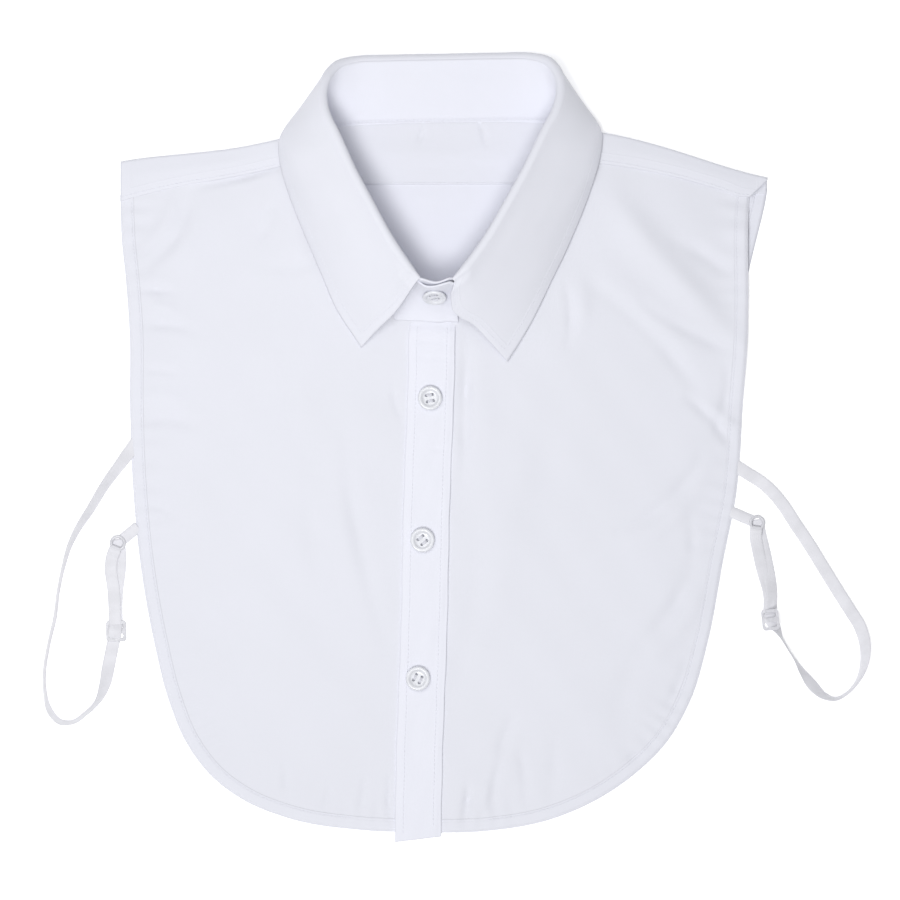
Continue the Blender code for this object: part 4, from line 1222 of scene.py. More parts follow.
class SHIRT_OT_yoke(bpy.types.Operator):
    """Yoke: flat behind the neck and folded over at each shoulder"""

    bl_idname = "shirt.yoke"
    bl_label = "Yoke"

    def execute(self, context):
        settings = context.scene.shirt_cloth
        back_rows, fold_rows, strip_rows, wing, centre = 30, 12, 26, 90, 130
        left, right = SHOULDERS
        shares = even(wing)
        plan_x = np.concatenate(
            [
                -left.tip_x + (left.tip_x - NECK_POINT[0]) * shares[:-1],
                np.linspace(-NECK_POINT[0], NECK_POINT[0], centre),
                NECK_POINT[0] + (right.tip_x - NECK_POINT[0]) * shares[1:],
            ]
        )
        back_neck = along_curve([section.neck[:2] for section in COLLAR[: SHOULDER_SECTION + 1]], even(60))
        neck_y = np.interp(np.abs(plan_x), back_neck[:, 0], back_neck[:, 1]) - YOKE_NECK_SEAM
        is_wing = np.abs(plan_x) >= NECK_POINT[0] - 0.01
        outer_y = fold_line(plan_x) - PANEL_WALL / 2
        under = yoke_underside(plan_x, outer_y) + PANEL_WALL / 2
        over = front_middle(plan_x, outer_y) + PANEL_WALL
        radius = (over - under) / 2
        top_y = np.where(is_wing, outer_y - radius, neck_y)
        tip_in = np.where(plan_x > 0.0, right.tip_x - right.seam_tip_x, left.tip_x - left.seam_tip_x)
        tip_in = tip_in * smoothstep(np.abs(plan_x), STRIP_TIP_FROM, right.tip_x)
        neck_in = STRIP_NECK_IN * (1.0 - smoothstep(np.abs(plan_x), NECK_POINT[0], STRIP_NECK_TO))
        rows = []
        for share in even(back_rows + 1)[:-1]:
            y = YOKE_SEAM + share * (top_y - YOKE_SEAM)
            z = yoke_underside(plan_x, y) + PANEL_WALL / 2 + crease_height(plan_x, y, YOKE_CREASES)
            z = z + np.where(is_wing, 0.0, 0.3 * smoothstep(y, neck_y - 9.0, neck_y - 1.0))
            rows.append(np.stack([plan_x, y, z], axis=1))
        for share in even(fold_rows + 1):
            angle = math.pi * share
            y = top_y + np.where(is_wing, radius * math.sin(angle), 0.01 * share)
            z = under + radius * (1.0 - math.cos(angle))
            z = np.where(is_wing, z, yoke_underside(plan_x, y) + PANEL_WALL / 2)
            rows.append(np.stack([plan_x, y, z], axis=1))
        for share in even(strip_rows + 1)[1:]:
            y = top_y + share * (front_seam(plan_x) - top_y)
            x = plan_x - np.sign(plan_x) * share * (tip_in + neck_in)
            crown = 0.35 * math.sin(math.pi * share)
            sunk = 0.3 * share + 0.42 * share**3 * smoothstep(-plan_x, 108.0, 134.0)
            z = front_middle(x, y) + PANEL_WALL + crown - sunk
            rows.append(np.stack([x, y, z + crease_height(x, y, YOKE_CREASES)], axis=1))
        points = np.array(rows)
        keep = np.ones((points.shape[0] - 1, points.shape[1] - 1), bool)
        keep[back_rows:, wing - 1 : wing + centre - 2] = False
        run = lengths_along(points)
        plan = np.stack([points[..., 0], run], axis=-1)
        to_seam = run[-1] - run
        to_armhole = np.minimum(points[..., 0] + left.tip_x, right.tip_x - points[..., 0])
        away = np.where(is_wing, np.minimum(to_seam, np.maximum(to_armhole, 0.0)), 60.0)
        made = cloth(
            "yoke_cloth",
            points,
            {"cloth": plan, "seam": np.stack([points[..., 0], away], axis=-1)},
            settings.panel_wall,
            [look("poplin_turned")],
            keep,
        )
        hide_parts("yoke")
        flat_area(points, keep)
        for start, stop in ((0, wing - 1), (wing + centre - 1, points.shape[1])):
            sew(points[-4, start:stop], settings.panel_wall / 2)
        sew(points[1, 4:-4], settings.panel_wall / 2)
        return {"FINISHED"}


PLACKET_CREASES = (
    Crease(-12.5, 54.0, 8.0, 53.2, 0.3, 1.4, -0.35),
    Crease(-11.0, 45.4, 6.0, 45.8, -0.3, 1.6, -0.35),
    Crease(0.0, -2.4, 10.0, -2.0, 0.2, 1.3, -0.35),
    Crease(-3.0, -142.0, -6.0, -170.0, 0.5, 4.0, -0.4),
    Crease(2.0, -84.0, 1.0, -110.0, 0.5, 3.5, 0.3),
)


def placket_height(x, y):
    """The middle of the placket's cloth: on the fronts, fuller between its edges, and tucked under the stand."""
    inside = PLACKET_WIDTH / 2 - np.abs(x - PLACKET_MIDDLE)
    full = 0.34 * smoothstep(inside, 0.0, 3.0) + 0.20 * ripple(x * 2.0, y, 38.0, 3.0)
    tucked = 1.1 * smoothstep(y, 58.0, 63.8)
    full = full + crease_height(x, y, PLACKET_CREASES)
    return front_middle(x, y) + 0.85 + full * smoothstep(inside, -0.5, 3.0) - tucked


class SHIRT_OT_placket(bpy.types.Operator):
    """Placket down the centre front"""

    bl_idname = "shirt.placket"
    bl_label = "Placket"

    def execute(self, context):
        settings = context.scene.shirt_cloth
        across = even(41)
        down = even(420)[:, None]
        foot = PLACKET_FOOT[0] + across * (PLACKET_FOOT[1] - PLACKET_FOOT[0])
        y = PLACKET_TOP + down * (foot - PLACKET_TOP)
        edge_wander = 0.25 * np.sin(y * 0.05) + 0.12 * np.sin(y * 0.21)
        x = PLACKET_MIDDLE + PLACKET_WIDTH * (across - 0.5) + edge_wander * np.abs(2 * across - 1)
        points = np.stack([x, y, placket_height(x, y)], axis=-1)
        inside = np.minimum(PLACKET_WIDTH * np.minimum(across, 1 - across), y - foot)
        made = cloth(
            "placket_cloth",
            points,
            {"cloth": points[..., :2], "seam": np.stack([y, inside], axis=-1)},
            0.7,
            [look("poplin_doubled")],
        )
        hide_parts("placket")
        stitch = settings.edge_stitch - 1.1
        for place in (stitch / PLACKET_WIDTH, 1 - stitch / PLACKET_WIDTH):
            column = int(round(place * 40))
            sew(points[6:-6, column], 0.35)
        return {"FINISHED"}


class SHIRT_OT_stand(bpy.types.Operator):
    """Stand of the collar, with its ends lapped at the front"""

    bl_idname = "shirt.stand"
    bl_label = "Stand"

    def execute(self, context):
        settings = context.scene.shirt_cloth
        columns, rows = 520, 32
        core, neck, middle, _, bow = whole_collar(columns, COLLAR)
        down, outwards = roll_frame(core, neck, middle)
        upper = even(columns) < 0.3
        under = even(columns) > 0.7
        lap = smoothstep(core[:, 0], -LAP_FAR, -LAP_NEAR) * upper
        lap = lap - (1.0 - smoothstep(core[:, 0], LAP_NEAR, LAP_FAR)) * under
        shift = (0.5 * STAND_LAP * lap)[:, None] * outwards
        dip = LAP_DIP * np.exp(-(((core[:, 0] - LAP_DIP_X) / LAP_DIP_REACH) ** 2)) * upper
        rise = under + smoothstep(core[:, 0], *LAP_UPPER_RISE) * upper
        rise *= LAP_RISE * (1.0 - smoothstep(core[:, 0], *LAP_RISE_ENDS))
        top = core - ROLL_RADIUS * outwards + shift + (rise - dip)[:, None] * unit(core - neck)
        foot = neck + STAND_FOOT_TURN * unit(neck - core) + shift
        foot[:, 1] -= smoothstep(foot[:, 0], *STAND_SPREAD) * upper * np.maximum(foot[:, 1] - STAND_SPREAD_Y, 0.0)
        reach = lengths_along(core)
        to_end = np.minimum(reach, reach[-1] - reach)
        drop = np.where(even(columns) < 0.5, *STAND_CORNER_DROP)
        corner = 1.0 - drop * (1.0 - np.clip(to_end / STAND_CORNER, 0.0, 1.0)) ** 2
        points = []
        for share in even(rows):
            t = (share * corner)[:, None]
            points.append((1 - t) * foot + t * top - 4 * bow[:, None] * t * (1 - t) * outwards)
        points = np.array(points)
        height = lengths_along(points)
        uneven = 0.18 * ripple(reach[None] + 0.0 * height, height, 30.0, 5.0) * np.sin(math.pi * even(rows))[:, None]
        points = points + uneven[..., None] * outwards[None]
        points[..., 2] -= STAND_SINK * (1.0 - smoothstep(height, 0.0, 3.5)) * (neck[:, 2] < 3.5)
        reach_map = np.broadcast_to(reach, height.shape)
        away = np.minimum(np.minimum(height, height[-1] - height), np.broadcast_to(to_end, height.shape))
        made = cloth(
            "stand_cloth",
            points,
            {"cloth": np.stack([reach_map, height], axis=-1), "seam": np.stack([reach_map, away], axis=-1)},
            settings.collar_wall,
            [look("poplin_doubled")],
        )
        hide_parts("collar_stand")
        flat_area(points)
        return {"FINISHED"}


def fit_front(points, target, first_row, fade, reach):
    """Moves the end of the leaf to its front edge in plan, and the cloth behind it less and less."""
    end = points[first_row:, 0]
    share = share_of(end[:, :2])
    wanted = along_curve(target, share)
    start = smoothstep(share, 0.0, 0.06)[:, None]
    shift = (wanted - end[:, :2]) * start
    near = 1.0 - smoothstep(reach, 0.0, fade)
    points[first_row:, :, :2] += shift[:, None] * near[None, :, None]


class SHIRT_OT_leaf(bpy.types.Operator):
    """Leaf of the collar, rolled over the stand, with its points on the fronts"""

    bl_idname = "shirt.leaf"
    bl_label = "Leaf"

    def execute(self, context):
        settings = context.scene.shirt_cloth
        columns, roll_rows, fall_rows = 460, 14, 56
        core, neck, middle, edge, _ = whole_collar(columns, COLLAR[:LEAF_SECTIONS])
        down, outwards = roll_frame(core, neck, middle)
        in_front = edge[:, 2] > 2.2
        rest = np.where(in_front, top_of_bib(edge[:, 0], edge[:, 1]) + 0.1, 0.0) + COLLAR_WALL / 2
        edge[:, 2] = np.maximum(np.where(in_front, 0.0, edge[:, 2]), rest)
        rows = []
        reach = lengths_along(core)
        narrow = 0.3 + 0.7 * smoothstep(np.minimum(reach, reach[-1] - reach), 0.0, ROLL_END)
        radius = (ROLL_RADIUS * narrow)[:, None]
        for angle in np.linspace(-0.15, math.pi, roll_rows):
            away = math.cos(angle) * outwards + math.sin(angle) * down
            rows.append(core - (ROLL_RADIUS - radius) * outwards - radius * away)
        start = rows[-1]
        leaving = start + 0.55 * np.linalg.norm(middle - start, axis=1, keepdims=True) * down
        arriving = (8 * middle - start - 3 * leaving - edge) / 3
        for t in even(fall_rows + 1)[1:]:
            curve = (1 - t) ** 3 * start + 3 * t * (1 - t) ** 2 * leaving
            curve += 3 * t**2 * (1 - t) * arriving + t**3 * edge
            curve[:, 2] = np.maximum(curve[:, 2], COLLAR_WALL / 2)
            rows.append(curve)
        points = np.array(rows)
        reach = lengths_along(points[-1])
        fit_front(points, LEFT_LEAF_FRONT, roll_rows - 1, LEAF_FRONT_FADE, reach)
        fit_front(points[:, ::-1], RIGHT_LEAF_FRONT, roll_rows - 1, LEAF_FRONT_FADE, reach[-1] - reach[::-1])
        across, length = np.meshgrid(even(columns), even(len(points)))
        fall = smoothstep(length, 0.2, 0.5) * (1.0 - 0.8 * smoothstep(length, 0.85, 1.0))
        wave = crease_height(across, length, LEAF_CREASES) + 0.22 * ripple(across * 300.0, length * 80.0, 44.0, 7.0)
        points[..., 2] += wave * fall * smoothstep(points[..., 2], 1.0, 5.0)
        down_cloth = lengths_along(points)
        along_cloth = np.broadcast_to(lengths_along(points[len(points) // 2]), down_cloth.shape)
        ends = lengths_along(points.swapaxes(0, 1)).T
        to_end = np.minimum(ends, ends[:, -1:] - ends)
        away = np.minimum(down_cloth[-1] - down_cloth, to_end)
        made = cloth(
            "leaf_cloth",
            points,
            {"cloth": np.stack([along_cloth, down_cloth], axis=-1), "seam": np.stack([along_cloth, away], axis=-1)},
            settings.collar_wall,
            [look("poplin_turned")],
        )
        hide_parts("collar_leaf")
        flat_area(points)
        stitch = settings.edge_stitch - 1.1
        lift = settings.collar_wall / 2
        left_in = int(np.argmax(ends[-1] > stitch))
        right_in = int(np.argmax(ends[-1] > ends[-1, -1] - stitch))
        low = np.array(
            [
                [np.interp(down_cloth[-1, c] - stitch, down_cloth[:, c], points[:, c, axis]) for axis in range(3)]
                for c in range(left_in, right_in)
            ]
        )
        sew(low[low[:, 2] > 3.0], lift)
        for line in (points[roll_rows + 4 :, left_in], points[roll_rows + 4 :, right_in]):
            sew(line[: -int(stitch / 1.3)], lift)
        return {"FINISHED"}


def button_shape(radius):
    """A turned button as a closed grid: a profile of a rim, a dish and a flat underside, carried round."""
    profile = np.array(
        [
            (0.0, 1.35),
            (0.30, 1.36),
            (0.52, 1.42),
            (0.62, 1.62),
            (0.68, 2.0),
            (0.74, 2.24),
            (0.82, 2.36),
            (0.90, 2.30),
            (0.97, 2.02),
            (1.0, 1.62),
            (0.985, 1.2),
            (0.93, 0.8),
            (0.80, 0.45),
            (0.60, 0.25),
            (0.0, 0.20),
        ]
    )
    shares = even(46)
    fine = along_curve(profile * [radius, 1.0], shares)
    fine[:, 0] = np.clip(fine[:, 0], 0.0, None)
    fine[0], fine[-1] = (0.0, 1.35), (0.0, 0.20)
    angles = np.arange(56) * (2 * math.pi / 56)
    x = fine[:, 0, None] * np.cos(angles)
    y = fine[:, 0, None] * np.sin(angles)
    z = np.broadcast_to(fine[:, 1, None], x.shape)
    return np.stack([x, y, z], axis=-1), quads(46, 56, closed_columns=True)


def pin_shape(radius, spots):
    """Round pins through the button, one at each spot: circles carried up from below it to above it."""
    angles = np.arange(14) * (2 * math.pi / 14)
    ring = np.stack([radius * np.cos(angles), radius * np.sin(angles)], axis=1)
    corners, faces = [], []
    for number, spot in enumerate(spots):
        for z in (-2.0, 5.0):
            corners.append(with_height(ring + spot, np.full(14, z)))
        base = number * 30
        corners.append(np.array([[*spot, -2.0], [*spot, 5.0]]))
        for i in range(14):
            j = (i + 1) % 14
            faces.append((base + i, base + j, base + 14 + j))
            faces.append((base + i, base + 14 + j, base + 14 + i))
            faces.append((base + 28, base + j, base + i))
            faces.append((base + 29, base + 14 + i, base + 14 + j))
    return np.concatenate(corners), np.array(faces)


def thread_shape(spots, height):
    """Threads over the dish between pairs of holes: three strands, each an arch that dives into both holes."""
    lines = []
    for first, second in ((0, 1), (3, 2)):
        start, end = np.array(spots[first]), np.array(spots[second])
        side = unit(np.array([start[1] - end[1], end[0] - start[0]]))
        for offset in (-0.32, 0.0, 0.32):
            t = even(13)[:, None]
            plan = start + (end - start) * t + side * offset * (1 + 0.3 * np.sin(math.pi * t))
            rise = height + 0.42 * np.sin(math.pi * t[:, 0]) ** 0.7 - 1.3 * (1 - np.sin(math.pi * t[:, 0])) ** 4
            lines.append(with_height(plan, rise + 0.06 * abs(offset)))
    return lines


def tube(line, radius, sides):
    """A round tube along a line: point + radius * (cos * side + sin * up), with closed ends."""
    along = unit(np.gradient(line, axis=0))
    side = unit(np.cross(along, [0.31, 0.17, 0.94]))
    up = np.cross(side, along)
    angles = np.arange(sides) * (2 * math.pi / sides)
    ring = np.cos(angles)[None, :, None] * side[:, None] + np.sin(angles)[None, :, None] * up[:, None]
    size = np.full(len(line), radius)
    size[[0, -1]] *= 0.3
    cells = quads(len(line), sides, closed_columns=True).reshape(-1, 4)
    return line[:, None] + size[:, None, None] * ring, np.concatenate([cells, caps(len(line), sides)])


def join_grids(grids):
    """Several grids of points and faces as one list of corners and one of faces, with a map along each."""
    corners, faces, maps, base = [], [], [], 0
    for points, cells in grids:
        run = lengths_along(points)
        around = np.broadcast_to(np.arange(points.shape[1]), points.shape[:2])
        corners.append(points.reshape(-1, 3))
        faces.append(cells.reshape(-1, 4) + base)
        maps.append(np.stack([run, around], axis=-1).reshape(-1, 2))
        base += points.shape[0] * points.shape[1]
    return np.concatenate(corners), np.concatenate(faces), np.concatenate(maps)


def placed(corners, origin, turn, normal):
    """Corners turned about their own axis, tipped so that the axis follows a normal, and moved to an origin."""
    turned = np.array(Vector((0, 0, 1)).rotation_difference(Vector(normal)).to_matrix())
    angle = math.radians(turn)
    spin = np.array([[math.cos(angle), -math.sin(angle), 0], [math.sin(angle), math.cos(angle), 0], [0, 0, 1]])
    return corners @ (turned @ spin).T + origin


def cut(piece, corners, faces):
    """Cuts the pins out of a piece for good."""
    pins = bpy.data.objects.new("pins", mesh_of("pins", corners, faces))
    bpy.context.scene.collection.objects.link(pins)
    holes = piece.modifiers.new("holes", "BOOLEAN")
    holes.object = pins
    holes.solver = "EXACT"
    graph = bpy.context.evaluated_depsgraph_get()
    mesh = bpy.data.meshes.new_from_object(piece.evaluated_get(graph))
    piece.modifiers.clear()
    piece.data = mesh
    mesh.set_sharp_from_angle(angle=math.radians(40.0))
    bpy.data.objects.remove(pins)


class SHIRT_OT_buttons(bpy.types.Operator):
    """Four-hole buttons, sewn on the placket and on the stand"""

    bl_idname = "shirt.buttons"
    bl_label = "Buttons"

    def execute(self, context):
        radius = context.scene.shirt_trim.button_radius
        places = []
        for number, (x, y, turn) in enumerate(BUTTON_PLACES, start=1):
            x_at, y_at = np.array([x]), np.array([y])
            top = front_middle(x_at, y_at)[0] + 1.5 * PANEL_WALL + SEAM_GAP
            origin = laid([x, y, top + BUTTON_SEAT - BUTTON_UNDERSIDE])
            places.append((f"placket_button_{number}", origin, turn, (0.0, 0.0, 1.0)))
        places.append(("collar_button", *collar_button_place()))
        hole = 0.26 * radius
        spots = [(hole * sx, hole * sy) for sx, sy in ((-1, -1), (1, -1), (1, 1), (-1, 1))]
        for name, origin, turn, normal in places:
            points, cells = button_shape(radius)
            corners = placed(points.reshape(-1, 3), origin, turn, normal) * MM
            shape = bmesh.new()
            mesh = mesh_of(name + "_pearl", corners, cells.reshape(-1, 4))
            shape.from_mesh(mesh)
            bmesh.ops.remove_doubles(shape, verts=shape.verts, dist=1e-6)
            bmesh.ops.recalc_face_normals(shape, faces=shape.faces)
            shape.to_mesh(mesh)
            shape.free()
            made = new_object(name + "_pearl", mesh, [look("button")])
            pins, pin_faces = pin_shape(0.13 * radius, spots)
            cut(made, placed(pins, origin, turn, normal) * MM, pin_faces)
            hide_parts(name)
            strands = [tube(line, 0.2, 8) for line in thread_shape(spots, 1.5)]
            corners, faces, band = join_grids(strands)
            corners = placed(corners, origin, turn, normal) * MM
            sewn = new_object(name + "_thread", mesh_of(name + "_thread", corners, faces, {"band": band}), [look("thread")])
        return {"FINISHED"}


def collar_button_place():
    """Where the button of the stand sits: its origin, its turn and the way it faces."""
    core, neck, middle, _, bow = whole_collar(481, COLLAR)
    down, outwards = roll_frame(core, neck, middle)
    column = int(np.argmin(np.abs(core[:160, 0] - COLLAR_BUTTON_X)))
    top = core[column] - ROLL_RADIUS * outwards[column]
    share = COLLAR_BUTTON_SHARE
    middle_of_wall = (1 - share) * neck[column] + share * top
    middle_of_wall = middle_of_wall - 4 * bow[column] * share * (1 - share) * outwards[column]
    slope = top - neck[column] - 4 * bow[column] * (1 - 2 * share) * outwards[column]
    normal = np.cross([1.0, 0.0, 0.0], unit(slope))
    seat = middle_of_wall + (COLLAR_WALL / 2 + BUTTON_SEAT) * unit(normal)
    return laid(seat), COLLAR_BUTTON_TURN, tuple(normal)


def ribbon_shape(bends, width, wall, count, layer=0.0):
    """An elastic band: a flat oval profile carried along the bends, turned by their lean about the run.

    Its points are centre + a * (cos(lean) * side - sin(lean) * up) + b * (cos(lean) * up + sin(lean) * side).
    """
    fine = along_curve([[bend.x, bend.y, 0.03 * bend.lean, bend.rise] for bend in bends], even(4 * count))
    run = share_of(fine[:, :2])
    rows = np.stack([np.interp(even(count), run, fine[:, axis]) for axis in range(4)], axis=1)
    lean = np.radians(np.clip(rows[:, 2] / 0.03, 0.0, 88.0))
    height = (width * np.sin(lean) + wall * np.cos(lean)) / 2 + layer + np.maximum(rows[:, 3], 0.0)
    centre = laid(with_height(rows, height))
    along = unit(np.gradient(centre, axis=0))
    side = unit(np.cross(along, [0.0, 0.0, 1.0]))
    up = np.cross(side, along)
    turn, tip = np.cos(lean)[:, None], np.sin(lean)[:, None]
    width_way = turn * side - tip * up
    height_way = turn * up + tip * side
    angles = (np.arange(20) + 0.5) * (2 * math.pi / 20)
    across = np.sign(np.cos(angles)) * np.abs(np.cos(angles)) ** 0.55 * width / 2
    thick = np.sin(angles) * wall / 2 * (1.0 - 0.25 * (np.abs(across) / (width / 2)) ** 4)
    points = swept(centre, np.stack([across, thick], axis=1), width_way, height_way)
    band = np.stack(np.broadcast_arrays(lengths_along(centre)[:, None], across[None]), axis=-1)
    faces = quads(count, 20, closed_columns=True).reshape(-1, 4)
    caps = []
    for row in (0, count - 1):
        for i in range(9):
            cell = [row * 20 + i, row * 20 + i + 1, row * 20 + 18 - i, row * 20 + 19 - i]
            caps.append(cell if row == 0 else cell[::-1])
    return centre, points, band, np.concatenate([faces, np.array(caps)])


def ribbon(name, bends, width, wall, count, layer=0.0):
    """A band of elastic as a piece of the garment, with the line that it follows."""
    centre, points, band, faces = ribbon_shape(bends, width, wall, count, layer)
    mesh = mesh_of(name, points.reshape(-1, 3) * MM, faces, {"band": band})
    shape = bmesh.new()
    shape.from_mesh(mesh)
    bmesh.ops.recalc_face_normals(shape, faces=shape.faces)
    shape.to_mesh(mesh)
    shape.free()
    made = new_object(name, mesh, [look("elastic")])
    return made, centre * MM


class SHIRT_OT_straps(bpy.types.Operator):
    """Elastic side straps with their doubled returns and tabs"""

    bl_idname = "shirt.straps"
    bl_label = "Side straps"

    def execute(self, context):
        trim = context.scene.shirt_trim
        sides = (("left", LEFT_STRAP, LEFT_RETURNS, LEFT_TAB), ("right", RIGHT_STRAP, RIGHT_RETURNS, RIGHT_TAB))
        for side, strap, returns, tab in sides:
            for number, bends in enumerate(returns):
                layer = number * 0.85
                made, _ = ribbon(f"{side}_return_{number + 1}", bends, trim.return_width, 0.8, 90, layer)
            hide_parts(f"{side}_strap_return")
            tab_piece, _ = ribbon(f"{side}_tab_elastic", tab, 6.0, 1.7, 40)
            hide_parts(f"{side}_tab")
            made, path = ribbon(f"{side}_strap_elastic", strap, trim.strap_width, trim.strap_wall, 620)
            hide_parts(f"{side}_strap")
            path[::6].tolist() + [path[-1].tolist()]
        return {"FINISHED"}


def slider_outline(curve, width, length, corner, middle_y, steps):
    """A rectangle with round corners, added to a flat curve."""
    quarter, step = np.divmod(np.arange(4 * steps), steps)
    angle = math.pi / 2 * (quarter + step / (steps - 1))
    centre_x = (width / 2 - corner) * np.where((quarter == 0) | (quarter == 3), 1, -1)
    centre_y = (length / 2 - corner) * np.where(quarter < 2, 1, -1) + middle_y
    x = centre_x + corner * np.cos(angle)
    y = centre_y + corner * np.sin(angle)
    spline = curve.splines.new("POLY")
    spline.points.add(len(x) - 1)
    ones = np.ones(len(x))
    spline.points.foreach_set("co", np.stack([x * MM, y * MM, 0 * x, ones], axis=1).ravel())
    spline.use_cyclic_u = True


class SHIRT_OT_hardware(bpy.types.Operator):
    """Rings and sliders of the side straps"""

    bl_idname = "shirt.hardware"
    bl_label = "Rings and sliders"

    def execute(self, context):
        trim = context.scene.shirt_trim
        for side, ring, slider in (("left", LEFT_RING, LEFT_SLIDER), ("right", RIGHT_RING, RIGHT_SLIDER)):
            turn = np.arange(56) * (2 * math.pi / 56)
            around = np.arange(18) * (2 * math.pi / 18)
            out = trim.ring_radius + trim.ring_wire * np.cos(around)
            x = out[None] * np.cos(turn)[:, None]
            y = out[None] * np.sin(turn)[:, None]
            z = np.broadcast_to(trim.ring_wire * np.sin(around), x.shape)
            points = np.stack([x, y, z], axis=-1) + laid([*ring, trim.ring_wire + RING_LIFT])
            cells = quads(56, 18, closed_rows=True, closed_columns=True).reshape(-1, 4)
            made = new_object(f"{side}_ring_plastic", mesh_of(f"{side}_ring", points.reshape(-1, 3) * MM, cells), [look("hardware")])
            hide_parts(f"{side}_ring")
            curve = bpy.data.curves.new(f"{side}_slider", "CURVE")
            curve.dimensions = "2D"
            curve.fill_mode = "BOTH"
            curve.extrude = 0.35 * MM
            curve.bevel_depth = 0.3 * MM
            curve.bevel_resolution = 3
            slider_outline(curve, 9.9, 10.4, SLIDER_CORNER, 0.0, 8)
            for way in (-1, 1):
                slot_x, slot_y = SLIDER_SLOT
                slider_outline(curve, slot_x + 0.6, slot_y + 0.6, 1.4, way * SLIDER_SLOT_OFFSET, 6)
            flat = bpy.data.objects.new("flat_slider", curve)
            bpy.context.scene.collection.objects.link(flat)
            graph = bpy.context.evaluated_depsgraph_get()
            mesh = bpy.data.meshes.new_from_object(flat.evaluated_get(graph))
            bpy.data.objects.remove(flat)
            corners = np.empty(len(mesh.vertices) * 3)
            mesh.vertices.foreach_get("co", corners)
            angle = math.radians(slider[2])
            spin = np.array([[math.cos(angle), math.sin(angle)], [-math.sin(angle), math.cos(angle)]])
            corners = corners.reshape(-1, 3)
            tip = math.radians(slider[3])
            corners = np.stack([corners[:, 0] * math.cos(tip), corners[:, 1], corners[:, 2]], axis=1) + np.outer(
                corners[:, 0] * math.sin(tip), [0.0, 0.0, 1.0]
            )
            corners[:, :2] = corners[:, :2] @ spin
            corners += laid([slider[0], slider[1], 0.67 + 5.0 * math.sin(tip)]) * MM
            mesh.vertices.foreach_set("co", corners.ravel())
            mesh.materials.clear()
            mesh.shade_smooth()
            mesh.set_sharp_from_angle(angle=math.radians(50.0))
            made = new_object(f"{side}_slider_plastic", mesh, [look("hardware")])
            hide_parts(f"{side}_slider")
        return {"FINISHED"}


class SHIRT_OT_stitching(bpy.types.Operator):
    """Topstitching along the hems, the placket, the yoke and the collar"""

    bl_idname = "shirt.stitching"
    bl_label = "Topstitching"

    def execute(self, context):
        length = context.scene.shirt_trim.stitch_length
        corners, faces, maps, base = [], [], [], 0
        for line in SEWN:
            points, cells, band = stitches_along(line, length, 0.5, 0.16)
            corners.append(points)
            faces.append(cells + base)
            maps.append(band)
            base += len(points)
        mesh = mesh_of("topstitching", np.concatenate(corners) * MM, np.concatenate(faces), {"band": np.concatenate(maps)})
        made = new_object("topstitching", mesh, [look("thread")])
        SEWN.clear()
        return {"FINISHED"}


class SHIRT_OT_stage(bpy.types.Operator):
    """Pale table, soft studio light and the camera straight above"""

    bl_idname = "shirt.stage"
    bl_label = "Stage"

    def execute(self, context):
        scene = context.scene
        stage = scene.shirt_stage
        mesh = mesh_of("table", np.array([(-6, -6, 0), (6, -6, 0), (6, 6, 0), (-6, 6, 0)]) * 1.0, np.array([[0, 1, 2, 3]]))
        mesh.materials.append(table_top("table_top", tuple(stage.table_colour), stage.table_glow))
        table = bpy.data.objects.new("table", mesh)
        scene.collection.objects.link(table)
        world = bpy.data.worlds.new("studio")
        world.use_nodes = True
        background = world.node_tree.nodes["Background"]
        background.inputs["Color"].default_value = (0.97, 0.98, 1.0, 1.0)
        background.inputs["Strength"].default_value = stage.sky_strength
        scene.world = world
        add_light("key", (-0.25, -0.78, 2.1), 0.8, stage.key_strength)
        add_light("near", (-0.13, 0.12, 0.62), 0.36, stage.near_strength)
        camera = bpy.data.cameras.new("camera")
        camera.sensor_width = 36.0
        camera.lens = 36.0 * stage.camera_distance / stage.view_width
        camera.clip_end = 30.0
        eye = bpy.data.objects.new("camera", camera)
        eye.location = (AIM[0] * MM, AIM[1] * MM, stage.camera_distance)
        eye.rotation_euler = (0.0, 0.0, math.radians(ROLL))
        scene.collection.objects.link(eye)
        scene.camera = eye
        scene.view_settings.view_transform = "Standard"
        return {"FINISHED"}


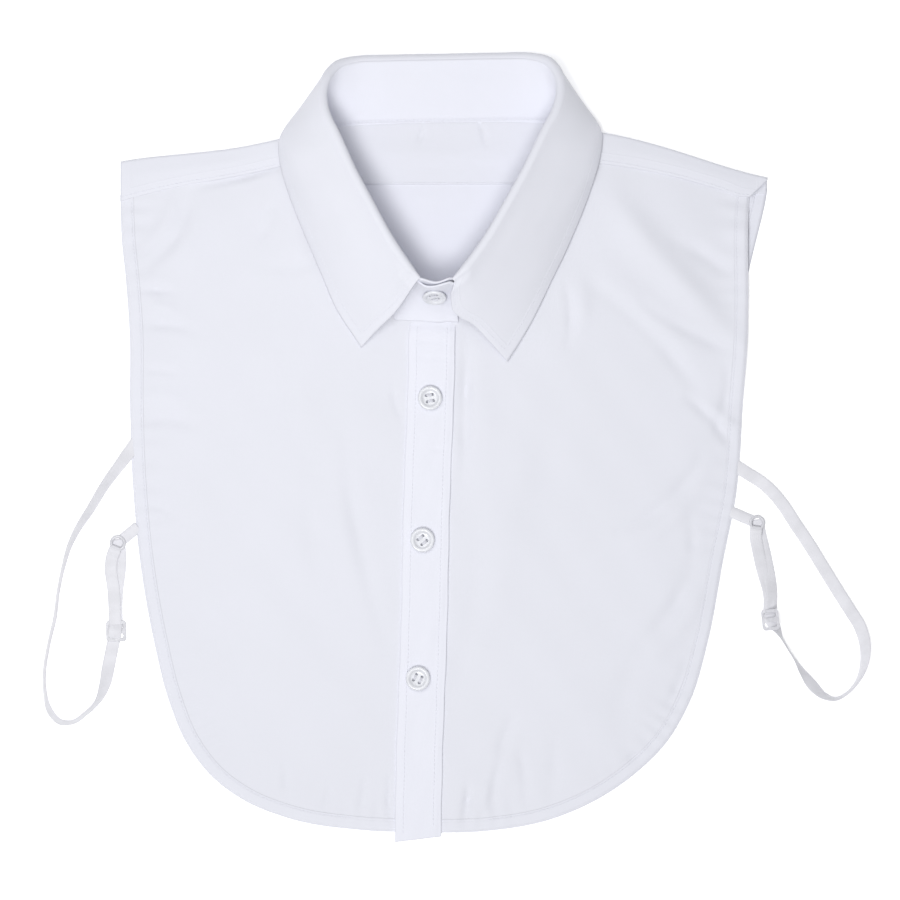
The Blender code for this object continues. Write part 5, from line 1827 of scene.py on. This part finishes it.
def add_light(name, place, size, power):
    """A square soft light that faces the middle of the garment."""
    lamp = bpy.data.lights.new(name, "AREA")
    lamp.size = size
    lamp.energy = power
    made = bpy.data.objects.new(name, lamp)
    made.location = place
    made.rotation_euler = (-Vector(place)).to_track_quat("-Z", "Y").to_euler()
    made.visible_camera = False
    bpy.context.scene.collection.objects.link(made)


class SHIRT_PT_panel(bpy.types.Panel):
    """Buttons for each piece of the garment"""

    bl_idname = "SHIRT_PT_panel"
    bl_label = "Shirt collar"
    bl_space_type = "VIEW_3D"
    bl_region_type = "UI"
    bl_category = "Shirt collar"

    def draw(self, context):
        for settings in (context.scene.shirt_cloth, context.scene.shirt_trim, context.scene.shirt_stage):
            box = self.layout.box()
            for key in settings.bl_rna.properties.keys():
                if key not in ("rna_type", "name"):
                    box.prop(settings, key)
        for operator in OPERATORS:
            self.layout.operator(operator.bl_idname)


OPERATORS = (
    SHIRT_OT_back,
    SHIRT_OT_fronts,
    SHIRT_OT_yoke,
    SHIRT_OT_placket,
    SHIRT_OT_stand,
    SHIRT_OT_leaf,
    SHIRT_OT_buttons,
    SHIRT_OT_hardware,
    SHIRT_OT_straps,
    SHIRT_OT_stitching,
    SHIRT_OT_stage,
)
SETTINGS = (ShirtClothSettings, ShirtTrimSettings, ShirtStageSettings)


def register():
    for kind in (*SETTINGS, *OPERATORS, SHIRT_PT_panel):
        bpy.utils.register_class(kind)
    bpy.types.Scene.shirt_cloth = bpy.props.PointerProperty(type=ShirtClothSettings)
    bpy.types.Scene.shirt_trim = bpy.props.PointerProperty(type=ShirtTrimSettings)
    bpy.types.Scene.shirt_stage = bpy.props.PointerProperty(type=ShirtStageSettings)


def unregister():
    for name in ("shirt_cloth", "shirt_trim", "shirt_stage"):
        delattr(bpy.types.Scene, name)
    for kind in reversed((*SETTINGS, *OPERATORS, SHIRT_PT_panel)):
        bpy.utils.unregister_class(kind)


def main():
    register()
    bpy.ops.shirt.stage()
    bpy.ops.shirt.hardware()
    bpy.ops.shirt.straps()
    bpy.ops.shirt.back()
    bpy.ops.shirt.fronts()
    bpy.ops.shirt.yoke()
    bpy.ops.shirt.placket()
    bpy.ops.shirt.stand()
    bpy.ops.shirt.leaf()
    bpy.ops.shirt.buttons()
    bpy.ops.shirt.stitching()


if __name__ == "__main__":
    main()
